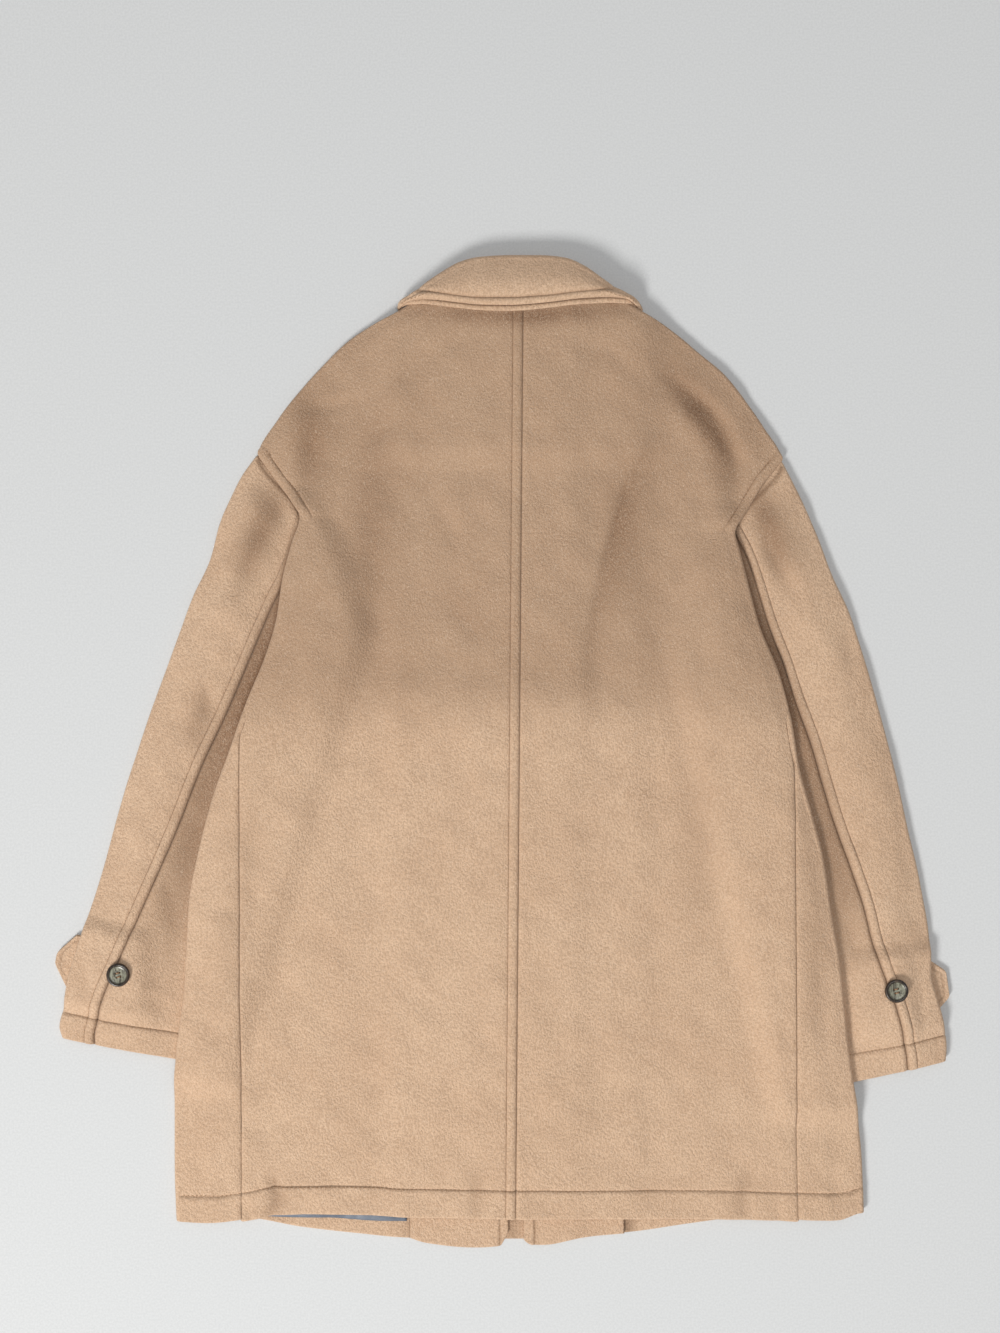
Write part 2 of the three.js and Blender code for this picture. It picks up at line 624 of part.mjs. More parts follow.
// One collar layer: from its edge over the fall, round the roll and back to the neck seam.
function collarLayer(isUpper) {
  const radius = isUpper ? FALL_RADIUS : UNDER_RADIUS;
  const aboveBack = COLLAR_CLEAR + 2 * UNDER_RADIUS + (isUpper ? COLLAR_PLY : 0);
  const inset = radius + CLOTH / 2 + (isUpper ? 0 : COLLAR_PLY);
  const rows = COLLAR.map((row) => {
    const edge = new THREE.Vector2(...(isUpper ? row.edge : row.under));
    const roll = new THREE.Vector2(...row.roll);
    const along = roll.clone().sub(edge);
    const reach = along.length() - inset;
    along.normalize();
    const level = (p) => {
      const side = p.x < MIDDLE_X ? SIDES.left : SIDES.right;
      const sag = COLLAR_SAG * clamp((p.y - NECK_SEAM_Y) / RAMP);
      const x = clamp(p.x, COLLAR_LEVEL.from, COLLAR_LEVEL.to);
      return backZ(side, x, NECK_SEAM_Y) + CLOTH / 2 + aboveBack - sag;
    };
    const place = (distance, drop) => {
      const p = edge.clone().addScaledVector(along, distance);
      return new THREE.Vector3(p.x, p.y, level(p) - drop);
    };
    const fall = [0, 0.34, 0.67, 1].map((t) => place(reach * t, 0));
    const centre = place(reach, radius);
    const bend = [1, 2, 3, 4].map((k) => {
      const a = Math.PI / 2 - (Math.PI * k) / 4;
      return new THREE.Vector3(
        centre.x + along.x * radius * Math.cos(a),
        centre.y + along.y * radius * Math.cos(a),
        centre.z + radius * Math.sin(a),
      );
    });
    // the stand goes back to the neck seam, level with the back panel for the under collar
    const toSeam = clamp((edge.y + along.y * reach - NECK_SEAM_Y - 1) / Math.max(along.y, 0.2), 1.5, reach);
    const stand = [0.5, 1].map((t) => place(reach - toSeam * t, 2 * radius));
    return [...fall, ...bend, ...stand];
  });
  return clothWall(rows.map((row) => [...row].reverse()));
}

// The front half of the collar lies under the fronts, upper and under collar together.
function collarEnd(side) {
  const rows = side.collarEnd.map(([ex, ey, rx, ry]) =>
    [0, 0.5, 1].map((t) => new THREE.Vector3(lerp(ex, rx, t), lerp(ey, ry, t), COLLAR_END / 2)),
  );
  return clothWall(facingUp(rows, side), { half: COLLAR_END / 2 });
}

// ---- assembly ----
for (const [name, side] of Object.entries(SIDES)) {
  add("front_" + name, frontPanel(side), COLOURS.wool);
  add("back_" + name, backPanel(side), COLOURS.wool);
  add("facing_" + name, facing(side), COLOURS.wool);
  add("sleeve_top_" + name, sleevePanel(side, "outer"), COLOURS.wool);
  add("sleeve_under_" + name, sleevePanel(side, "inner"), COLOURS.wool);
  add("collar_end_" + name, collarEnd(side), COLOURS.wool);

  const tab = add("cuff_tab_" + name, cuffTab(side), COLOURS.wool);
  tab.position.set(side.tab.x, side.tab.y, 0);
  tab.rotation.z = side.out < 0 ? side.tab.turn : Math.PI + side.tab.turn;

  const { x, y } = side.button;
  const made = add("cuff_button_" + name, button(), COLOURS.horn);
  made.position.set(x, y, sleeveHighZ(side, x, y) + CLOTH + LAYER);
}
add("lining_left", lining(SIDES.left), COLOURS.lining);
add("collar_upper", collarLayer(true), COLOURS.wool);
add("collar_under", collarLayer(false), COLOURS.wool);

export default root;
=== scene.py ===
import math

import bmesh
import bpy
import numpy as np
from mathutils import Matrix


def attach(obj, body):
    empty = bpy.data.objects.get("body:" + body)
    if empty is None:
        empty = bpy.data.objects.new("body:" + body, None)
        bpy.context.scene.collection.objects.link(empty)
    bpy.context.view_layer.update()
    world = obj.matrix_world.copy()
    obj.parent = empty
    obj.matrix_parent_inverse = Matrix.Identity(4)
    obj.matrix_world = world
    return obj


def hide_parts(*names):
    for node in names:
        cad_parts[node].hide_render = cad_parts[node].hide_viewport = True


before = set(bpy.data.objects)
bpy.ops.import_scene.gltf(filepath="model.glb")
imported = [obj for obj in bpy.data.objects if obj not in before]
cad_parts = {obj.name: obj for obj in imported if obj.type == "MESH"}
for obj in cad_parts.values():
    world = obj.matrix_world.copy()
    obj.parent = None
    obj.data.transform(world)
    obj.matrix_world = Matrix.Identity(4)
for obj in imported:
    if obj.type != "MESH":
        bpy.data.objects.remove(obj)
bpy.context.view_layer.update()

# The coat lies face down. Lengths are in millimetres until a mesh is made; +Y runs from hem to collar.
MM = 0.001
CLOTH = 2.2          # coat wool, one layer
HALF = CLOTH / 2
LAYER = 0.5          # between two layers that lie on each other
BODY_HOLLOW = 3.0    # between the fronts and the back
SLEEVE_HOLLOW = 3.0  # between a sleeve's two layers
LINING = 1.0
PLY = CLOTH + LAYER
SLEEVE_STACK = 2 * CLOTH + SLEEVE_HOLLOW + LAYER
COLLAR_END = 2 * CLOTH
RAMP = 30                 # how far past a layer's edge the cloth above takes to come down
RAMP_CLEAR = 4            # and how far it stays up first
MIDDLE_X = 16             # of the neck
FRONT_LEFT_EDGE = 58      # under the right front's
FRONT_RIGHT_EDGE = 21
FACING_TOP_Y = 392
FACING_LEFT = (-89, 6)    # outer x, inner x
FACING_RIGHT = (117, 21)
NECK_SEAM_Y = 434
STITCH_IN = 9.2           # topstitch to seam
HEM_IN = 24.5             # topstitch to hem
TAB_LIFT = 5.0            # of a sleeve over its tab
TAB_LENGTH = 72
TAB_HALF_WIDTH = 25.5
TAB_POINT = 15
SEAM_GAP = 0.12           # from a seam's line to each panel's edge
HALF_WAY = 0.485          # shares of half a turn that a panel goes round a fold
NO_TURN = 0.02
HEM_Y = -443              # the body's lower edge, before its curve
BODY_CROWN = 3.4          # how much fuller the back is inside its folds
OVER_SLEEVE_RISE = 2.6    # where it lies on the sleeves' inner parts
BODY_CREASE = 1.9         # scales of the crease tables and of the cloth's unevenness
SLEEVE_CREASE = 1.8
UNEVEN = 1.6
SLEEVE_CROWN = 6.2
UPPER_PAINTED_SHADE = 0.44          # painted shade above the middle of the back, where the light falls off toward the collar
COLLAR_GAP = 3.2          # between the upper and the under collar
COLLAR_ROLL = 1.5         # the under collar's radius where it turns down
COLLAR_LIFT = 1.7         # the under collar's edge above the back
COLLAR_CROWN = 3.6
COLLAR_SAG = 5.5          # from the edge to the roll

# ---- outlines: y, x unless said ----
LEFT = dict(
    out=-1,
    fold=[(-443, -311), (-390, -313), (-330, -313), (-287, -310), (-221, -302), (-184, -300), (-145, -298),
          (-91, -288), (-39, -274), (0, -260), (49, -243), (90, -226), (126, -215), (165, -209), (200, -200),
          (223, -193), (283, -233), (318, -214), (346, -192), (370, -170), (392, -147), (407, -124),
          (417, -103), (425, -90), (434, -79)],
    side_seam=[(-443, -248), (26, -249)],
    armhole=[(110, -150), (165, -165), (200, -177), (223, -190), (245, -205), (259, -216), (283, -233)],
    sleeve_fold=[(-273, -420), (-262, -423), (-245, -419), (-221, -415), (-170, -400), (-121, -384),
                 (-45, -363), (29, -339), (106, -311), (147, -296), (184, -279), (219, -269.5), (248, -257),
                 (262, -250), (283, -235.5)],
    back_seam=[(-273, -389), (-242, -382), (-198, -364), (-145, -341), (-71, -309), (-7, -284), (33, -265),
               (89, -241), (139, -220), (167, -206), (192, -198), (223, -190)],
    underarm=(-150, 110), cuff=(-273, -300), armhole_bow=13, cuff_edge=-300,
    # outer y, inner y, bow
    sleeve_rows=[(283, 110, 1), (254, 98, 0.55), (219, 76, 0.25), (184, 52, 0.1), (140, 20, 0),
                 (84, -24, 0), (20, -72, 0), (-45, -116, 0), (-100, -150, 0), (-138, -174, 0),
                 (-168, -198, 0), (-197, -225, 0), (-227, -256, 0), (-256, -284, 0), (-273, -300, 0)],
    tab=dict(x=-427, y=-197, turn=-0.2, blunt=2), button=(-363, -210), meet=223,
    collar_end=[(-93, 417, -74, 431), (-93, 372, -50, 405), (-84, 334, -22, 384), (-62, 300, 9, 366)],
)
RIGHT = dict(
    out=1,
    fold=[(-443, 346), (-392, 344), (-349, 340), (-292, 331), (-245, 326), (-197, 321), (-151, 313),
          (-102, 306), (-59, 295), (-15, 283), (33, 275), (74, 264), (121, 245), (154, 236), (190, 227),
          (211, 222), (278, 268), (309, 251), (331, 236), (361, 212), (381, 188), (397, 169), (410, 150),
          (419, 134), (427, 120), (434, 109)],
    side_seam=[(-443, 282), (-349, 280), (26, 277)],
    armhole=[(100, 182), (150, 197), (185, 208), (211, 221), (232, 235), (257, 250), (278, 268)],
    sleeve_fold=[(-295, 424), (-282, 425), (-252, 420), (-234, 415), (-212, 409), (-192, 409), (-121, 399),
                 (-74, 388), (-32, 379), (45, 359), (90, 346), (133, 332), (170, 315), (205, 302),
                 (246, 284), (278, 268)],
    back_seam=[(-300, 387), (-267, 381), (-238, 373), (-188, 355), (-144, 344), (-105, 331), (-66, 317),
               (-26, 305), (12, 294), (47, 281), (84, 269), (118, 256), (154, 245), (186, 234), (211, 221)],
    underarm=(182, 100), cuff=(278, -328), armhole_bow=11, cuff_edge=-328,
    sleeve_rows=[(278, 100, 1), (246, 88, 0.55), (205, 62, 0.25), (170, 38, 0.1), (126, 6, 0),
                 (74, -34, 0), (12, -82, 0), (-60, -132, 0), (-122, -172, 0), (-162, -202, 0),
                 (-192, -224, 0), (-222, -252, 0), (-252, -284, 0), (-280, -312, 0), (-295, -328, 0)],
    tab=dict(x=427, y=-222, turn=0.14, blunt=9), button=(373, -225), meet=211,
    collar_end=[(126, 416, 105, 431), (125, 372, 82, 405), (116, 334, 54, 384), (94, 300, 23, 366)],
)
# lower edges: x, y
BACK_HEM = [(-311, -449), (-275, -448.5), (-248, -445), (-210, -438.5), (-150, -438), (-90, -440),
            (90, -441.5), (225, -443), (282, -445), (330, -446), (346, -440)]
FRONT_HEM = [(-311, -448), (-249, -446), (-192, -455), (-135, -461.5), (-90, -465.5), (22, -466.5),
             (117, -460.5), (131, -459), (178, -452), (226, -446), (346, -440)]
FACING_HEM = [(-89, -464.5), (-73, -469.5), (-26, -474), (-2, -472.5), (6, -464.5), (22, -470.5),
              (40, -470.5), (74, -464.5), (117, -460.5)]
# the collar's sections: upper edge x, y; under collar's edge y; roll x, y; share of the full height
COLLAR = [
    (-98.6, 421.5, 421.0, -99.0, 424.0, 0.00), (-95.0, 426.0, 424.3, -97.0, 428.5, 0.30),
    (-88.0, 428.6, 426.0, -90.5, 433.0, 0.62), (-77.0, 429.6, 426.0, -82.0, 438.0, 0.88),
    (-60.0, 428.4, 424.4, -69.0, 447.5, 1.0), (-40.0, 425.8, 421.8, -55.0, 457.0, 1.0),
    (-24.0, 423.9, 419.8, -40.0, 465.5, 1.0), (-9.0, 423.2, 418.9, -22.0, 470.2, 1.0),
    (8.0, 423.0, 418.6, 8.0, 472.0, 1.0), (27.0, 424.1, 419.8, 36.0, 471.8, 1.0),
    (45.0, 425.9, 421.8, 60.0, 469.4, 1.0), (62.0, 428.2, 424.0, 77.0, 462.0, 1.0),
    (82.0, 430.6, 426.0, 93.0, 451.0, 1.0), (102.0, 431.9, 427.2, 108.0, 441.0, 0.9),
    (117.0, 431.4, 427.0, 121.0, 434.8, 0.66), (126.5, 427.0, 424.2, 129.4, 427.5, 0.34),
    (132.2, 419.8, 419.0, 132.6, 420.4, 0.00),
]

# Creases: the line of each, its depth (a ridge is negative), and its width on the line's two sides.
BODY_CREASES = [
    ([(-176, 306), (-181, 276), (-185, 244)], 2.0, 7, 12),
    ([(-163, 338), (-160, 322)], 1.3, 18, 18),
    ([(-118, 312), (-104, 300)], 1.1, 18, 18),
    ([(164, 356), (197, 332), (213, 312), (219, 294), (228, 274), (227, 258), (218, 238)], 3.6, 4.5, 12),
    ([(150, 340), (176, 316), (196, 284)], -1.5, 14, 14),
    ([(-60, 156), (-40, 133), (-20, 106)], 1.0, 4, 7),
    ([(146, 304), (118, 252), (100, 190), (88, 130), (80, 80)], 1.5, 14, 5),
    ([(-118, 168), (-116, 120), (-113, 62)], 1.3, 10, 16),
    ([(-150, 60), (-60, 48), (30, 53), (150, 47)], -1.3, 26, 34),
    ([(-90, 20), (-130, -60), (-150, -130)], 0.9, 16, 16),
    ([(175, 180), (190, 120), (186, 40), (196, -60)], 1.2, 12, 20),
    ([(-186, 150), (-196, 80), (-214, 10)], 1.3, 12, 16),
    ([(-70, 250), (-48, 215), (-42, 178)], 0.8, 9, 9),
    ([(104, 120), (92, 84), (96, 40)], 0.8, 8, 10),
    ([(-228, -60), (-236, -120), (-232, -190)], 0.8, 10, 14),
    ([(-226, -448), (-214, -425), (-222, -396)], 2.2, 3, 6),
    ([(-244, -446), (-240, -424)], 0.8, 5, 6),
    ([(-21, -446), (-24, -420), (-20, -396)], 0.8, 7, 9),
    ([(233, -448), (229, -420), (234, -392)], 1.0, 6, 8),
    ([(264, -450), (262, -424)], 0.7, 6, 6),
    ([(320, -445), (316, -410), (318, -370)], 0.8, 8, 8),
    ([(-288, -445), (-284, -415), (-288, -380)], 0.8, 8, 8),
    ([(-286, -150), (-262, -146), (-240, -150)], 0.7, 6, 8),
    ([(60, -330), (120, -318), (170, -326)], 0.6, 12, 12),
    ([(-160, -300), (-110, -312), (-60, -306)], 0.6, 12, 14),
    ([(300, -180), (306, -230), (302, -290)], 0.8, 8, 10),
    ([(60, 392), (100, 380), (132, 352)], 0.8, 10, 12),
    ([(-30, 392), (-72, 378), (-110, 350)], 0.8, 10, 12),
]
SLEEVE_CREASES = [
    ([(-224, 226), (-236, 186), (-250, 152)], 2.3, 6, 10),
    ([(-262, 214), (-272, 176), (-280, 140)], 0.8, 9, 9),
    ([(-282, 68), (-279, 52), (-284, 36)], 1.2, 5, 6),
    ([(-330, 10), (-338, -40), (-352, -90)], -0.9, 12, 12),
    ([(-318, -120), (-313, -146), (-310, -170)], 2.0, 5, 8),
    ([(-356, -214), (-336, -224), (-312, -236)], -1.0, 4, 6),
    ([(-352, -222), (-334, -246), (-314, -268)], -0.9, 4, 6),
    ([(-360, -228), (-350, -262), (-344, -292)], -0.7, 5, 6),
    ([(-400, -186), (-392, -222), (-398, -258)], 0.8, 6, 7),
    ([(250, 220), (257, 195), (271, 168), (282, 148)], 2.7, 6, 10),
    ([(290, 210), (300, 176), (306, 150)], -0.9, 10, 10),
    ([(336, 122), (330, 100), (334, 76)], 0.8, 7, 9),
    ([(352, 20), (360, -20), (372, -60)], -0.8, 12, 12),
    ([(324, -146), (333, -171), (344, -206)], 2.2, 5, 8),
    ([(338, -226), (333, -262), (336, -296)], 1.3, 5, 7),
    ([(362, -234), (348, -252), (338, -274)], -0.9, 4, 6),
    ([(392, -190), (398, -232), (402, -276)], 0.8, 7, 8),
]
# Painted shade in the cloth's hollows and creases, and a painted shadow under the collar's edge: the line,
# how dark, the width on its two sides.
PAINTED_SHADE_PATCHES = [
    ([(-118, 330), (-124, 250), (-128, 170), (-120, 95)], 0.34, 26, 18),
    ([(-196, 350), (-184, 306), (-180, 250)], 0.46, 22, 16),
    ([(150, 372), (182, 330), (208, 290), (214, 244)], 0.6, 20, 13),
    ([(146, 304), (118, 252), (100, 190), (88, 130), (80, 80)], 0.3, 22, 4),
    ([(128, 330), (112, 250), (122, 170), (150, 100)], 0.2, 24, 26),
    ([(-60, 156), (-40, 133), (-20, 106)], 0.25, 12, 3),
    ([(186, 20), (188, -70), (190, -160)], 0.2, 20, 16),
    ([(-90, 420), (-40, 416), (20, 413), (80, 418), (124, 424)], 0.6, 10, 10),
    ([(-236, -40), (-250, -150), (-254, -260)], 0.18, 14, 14),
    ([(290, -60), (298, -160), (302, -270)], 0.25, 14, 16),
    ([(-226, -448), (-214, -425), (-222, -396)], 0.5, 4, 8),
    ([(-30, -446), (-26, -420), (-34, -396)], 0.25, 5, 9),
    ([(229, -450), (226, -424), (234, -396)], 0.35, 5, 7),
]
# painted shade in the top sleeves' hollows and along their back seams: the line, how dark, the width on its
# two sides
SLEEVE_PAINTED_SHADE = [
    ([(-196, 214), (-222, 130), (-262, 30), (-300, -60), (-330, -150)], 0.5, 8, 8),
    ([(-206, 262), (-226, 214), (-246, 160)], 0.85, 13, 20),
    ([(-282, 66), (-284, 40), (-296, 0)], 0.45, 10, 12),
    ([(-312, -110), (-314, -150), (-322, -190)], 0.5, 10, 10),
    ([(228, 206), (252, 130), (284, 40), (312, -50), (336, -130)], 0.5, 8, 8),
    ([(236, 262), (254, 216), (274, 162)], 0.9, 18, 13),
    ([(326, -130), (336, -170), (346, -210)], 0.5, 10, 10),
]
# painted shade on the under sleeves where they go down under the body's edge: the line, how dark, the width
# on its two sides
UNDER_SLEEVE_PAINTED_SHADE = [
    ([(-180, 250), (-212, 150), (-244, 60), (-276, -20), (-310, -130)], 1.0, 30, 30),
    ([(-290, -60), (-308, -130), (-320, -220)], 0.45, 22, 22),
    ([(212, 250), (244, 130), (274, 60), (300, -30), (326, -130)], 1.0, 30, 30),
    ([(308, -60), (326, -130), (340, -220)], 0.45, 22, 22),
]
# on the side that lies on the floor, where the cloth lifts off it a little
UNDER_CREASES = [
    ([(-160, 200), (-120, 120), (-110, 20)], 0.8, 10, 14),
    ([(150, 220), (120, 140), (124, 40)], 0.7, 10, 12),
    ([(-200, -80), (-150, -160), (-140, -260)], 0.8, 12, 12),
    ([(200, -60), (180, -170), (210, -280)], 0.7, 12, 14),
    ([(-60, 300), (0, 280), (60, 300)], 0.7, 10, 10),
    ([(-370, -60), (-356, -10), (-336, 40)], 0.7, 8, 8),
    ([(370, -80), (358, -30), (344, 30)], 0.7, 8, 8),
]


# ---- numbers ----
def smooth(t):
    t = np.clip(t, 0.0, 1.0)
    return t * t * (3 - 2 * t)


def lerp(a, b, t):
    return a + (b - a) * t


def read(table, key):
    """A smooth curve through a table of (key, value) rows, with no overshoot."""
    rows = np.array(sorted((r[0], r[1]) for r in table), float)
    k, v = rows[:, 0], rows[:, 1]
    h = np.diff(k)
    slope = np.diff(v) / h
    d = np.zeros_like(v)
    d[0], d[-1] = slope[0], slope[-1]
    for i in range(1, len(v) - 1):
        a, b = slope[i - 1], slope[i]
        if a * b > 0:
            wa, wb = 2 * h[i] + h[i - 1], h[i] + 2 * h[i - 1]
            d[i] = (wa + wb) / (wa / a + wb / b)
    key = np.clip(np.asarray(key, float), k[0], k[-1])
    i = np.clip(np.searchsorted(k, key, side="right") - 1, 0, len(h) - 1)
    t = (key - k[i]) / h[i]
    t2, t3 = t * t, t * t * t
    return ((2 * t3 - 3 * t2 + 1) * v[i] + (t3 - 2 * t2 + t) * h[i] * d[i]
            + (3 * t2 - 2 * t3) * v[i + 1] + (t3 - t2) * h[i] * d[i + 1])


def run_of(points):
    """Distance along a line of points, at each point."""
    return np.concatenate([[0], np.cumsum(np.linalg.norm(np.diff(points, axis=0), axis=1))])


def ramp(distance, full=RAMP_CLEAR, length=RAMP):
    return smooth(1 - (distance - full) / length)


def line_distance(points, x, y):
    """Signed distance to a line of points, and the share of its length where the nearest point is."""
    p = np.array(points, float)
    starts = run_of(p)
    lengths = np.diff(starts)
    best = np.full(np.shape(x), np.inf)
    sign = np.ones(np.shape(x))
    share = np.zeros(np.shape(x))
    for k, (a, b) in enumerate(zip(p[:-1], p[1:])):
        w = (b - a) / lengths[k]
        along = np.clip((x - a[0]) * w[0] + (y - a[1]) * w[1], 0, lengths[k])
        dx, dy = x - a[0] - along * w[0], y - a[1] - along * w[1]
        d = np.hypot(dx, dy)
        near = d < best
        best = np.where(near, d, best)
        sign = np.where(near, np.where(w[0] * dy - w[1] * dx >= 0, 1.0, -1.0), sign)
        share = np.where(near, (starts[k] + along) / starts[-1], share)
    return best * sign, share


def creases(table, x, y):
    """Height that a table of creases adds, deepest at the middle of each and nothing at its ends."""
    z = np.zeros(np.shape(x))
    for points, depth, wide_a, wide_b in table:
        d, share = line_distance(points, x, y)
        wide = np.where(d > 0, wide_a, wide_b)
        swell = np.sin(np.pi * np.clip(share * 0.92 + 0.04, 0, 1)) ** 0.8
        z = z - depth * swell * np.exp(-(d / wide) ** 2)
    return z


def painted_shade(table, x, y):
    """How dark the painted shade is, 0 to 1."""
    return np.clip(-creases(table, x, y), 0, 1)


_waves = np.random.default_rng(11)
WAVES = [(_waves.uniform(0, math.pi), _waves.uniform(26, 95), _waves.uniform(0, 6.28)) for _ in range(22)]
FINE_WAVES = [(_waves.uniform(0, math.pi), _waves.uniform(9, 22), _waves.uniform(0, 6.28)) for _ in range(16)]


def ripple(x, y):
    """The cloth's own unevenness."""
    z = np.zeros(np.shape(x))
    for turn, length, phase in WAVES:
        z = z + 0.085 * np.sin((x * math.cos(turn) + y * math.sin(turn)) * 2 * math.pi / length + phase)
    for turn, length, phase in FINE_WAVES:
        z = z + 0.022 * np.sin((x * math.cos(turn) + y * math.sin(turn)) * 2 * math.pi / length + phase)
    return z


def centre_back(y):
    return lerp(13, 20, (y + 441) / 860)


# ---- where the layers lie ----
def sleeve_inner_x(side, y):
    ux, uy = side["underarm"]
    cx, cy = side["cuff"]
    return np.where(y > uy, read(side["armhole"], y), lerp(cx, ux, (y - cy) / (uy - cy)))


def sleeve_below(side, x, y):
    meet = side["meet"]
    inwards = (sleeve_inner_x(side, np.clip(y, side["cuff_edge"], meet)) - x) * side["out"]
    return ramp(inwards) * ramp(y - meet, 3) * ramp(side["cuff_edge"] - y)


def collar_end_below(x, y):
    return smooth((y - 264) / RAMP) * smooth(1 - (np.abs(x - MIDDLE_X) - 120) / RAMP)


def front_base(side, x, y):
    return sleeve_below(side, x, y) * SLEEVE_STACK + collar_end_below(x, y) * (COLLAR_END + LAYER)


def front_z(side, x, y):
    lap = ramp(x - FRONT_LEFT_EDGE) * PLY if side["out"] > 0 else 0
    return front_base(side, x, y) + lap


def back_z(side, x, y):
    facing = np.where(x < MIDDLE_X, ramp(FACING_LEFT[0] - x), ramp(x - FACING_RIGHT[0]))
    start = FACING_LEFT[0] + RAMP_CLEAR
    bridge = smooth((x - start) / (FRONT_RIGHT_EDGE - start))
    lap = bridge * ramp(x - FRONT_LEFT_EDGE)
    return front_base(side, x, y) + CLOTH + (facing + lap) * PLY + BODY_HOLLOW


def band(d, inner=0.0, outer=STITCH_IN):
    """The raised strip over seam allowances, between a seam and its topstitch."""
    return smooth((d - inner) / 2.2) * smooth((outer - d) / 1.6)


def groove(d, wide=1.3):
    return np.exp(-(d / wide) ** 2)


def topstitched(d, rise=0.8, sink=0.75):
    """Height of a seam's raised allowance, with its row of stitching, and the painted shade in the
    stitching's groove.
    """
    return rise * band(d) - sink * groove(d - STITCH_IN), 0.4 * groove(d - STITCH_IN, 0.8)


def hemmed(up, rise, line=HEM_IN):
    """Height of a turned hem, with its row of stitching, and the painted shade in the stitching's groove."""
    return rise * smooth((HEM_IN + 1 - up) / 2.5) - 0.8 * groove(up - line), 0.42 * groove(up - line, 0.8)


def body_top(side, x, y):
    """Middle of the back's cloth, and how much painted shade each place takes in its seams' and stitches'
    grooves.
    """
    out = side["out"]
    z = back_z(side, x, y) + HALF
    inset = (read(side["fold"], y) - x) * out
    over_sleeve = smooth((y + 330) / 60) * smooth((215 - y) / 50)
    z = z + BODY_CROWN * smooth((inset + 2) / 40)
    z = z + OVER_SLEEVE_RISE * over_sleeve * smooth((inset + 4) / 22) * smooth((110 - inset) / 70)
    z = z + BODY_CREASE * creases(BODY_CREASES, x, y) + UNEVEN * ripple(x, y)
    z = np.maximum(z, back_z(side, x, y) + HALF - 2.0)
    # the centre-back seam
    from_seam = x - centre_back(y)
    rise, shade = topstitched(-from_seam)
    z = z + rise - 1.3 * groove(from_seam, 1.5)
    # painted shade in the centre-back seam's groove
    shade = shade + 0.8 * groove(from_seam, 0.9)
    # the side seam, up to where it turns over the fold
    from_seam = np.abs(x - read(side["side_seam"], y)) + np.where(y > 60, 99, 0)
    z = z - 1.0 * groove(from_seam, 1.6)
    # painted shade in the side seam's groove
    shade = shade + 0.6 * groove(from_seam, 0.8)
    # the armhole
    from_seam, _ = line_distance([(p[1], p[0]) for p in side["armhole"][3:]], x, y)
    from_seam = np.abs(from_seam)
    shoulder = smooth((y - side["meet"] + 6) / 10) * smooth((side["armhole"][-1][0] + 14 - y) / 10)
    rise, dark = topstitched(from_seam)
    z = z + shoulder * (rise - 1.1 * groove(from_seam, 1.8))
    # painted shade in the armhole seam's groove and stitching
    shade = shade + shoulder * (dark + 0.7 * groove(from_seam, 0.9))
    rise, dark = hemmed(y - read(BACK_HEM, x), 1.1)
    return z + rise, np.clip(shade + dark, 0, 1)


def tab_below(side, x, y):
    tab = side["tab"]
    reach = (tab["x"] - x) * side["out"]
    centre_y = tab["y"] - np.abs(tab["x"] - x) * abs(tab["turn"])
    beside = np.abs(y - centre_y) - TAB_HALF_WIDTH
    return ramp(reach - TAB_LENGTH, 10, 15) * ramp(beside, 8, 15)


def make_object(name, vertices, faces, material, attribute=None, painted_shade_value=None):
    mesh = bpy.data.meshes.new(name)
    mesh.from_pydata((np.asarray(vertices) * MM).tolist(), [], [list(face) for face in faces])
    mesh.update()
    mesh.polygons.foreach_set("use_smooth", [True] * len(mesh.polygons))
    # the two attributes hold painted shade: the first in grooves and beside the edges of layers above, the
    # second in the cloth's hollows and creases
    for key, values in (("shade", attribute), ("painted_shade", painted_shade_value)):
        if values is not None:
            mesh.attributes.new(key, "FLOAT", "POINT").data.foreach_set("value", values.astype(float))
    mesh.materials.append(material)
    obj = bpy.data.objects.new(name, mesh)
    bpy.context.collection.objects.link(obj)
    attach(obj, "root")
    return obj


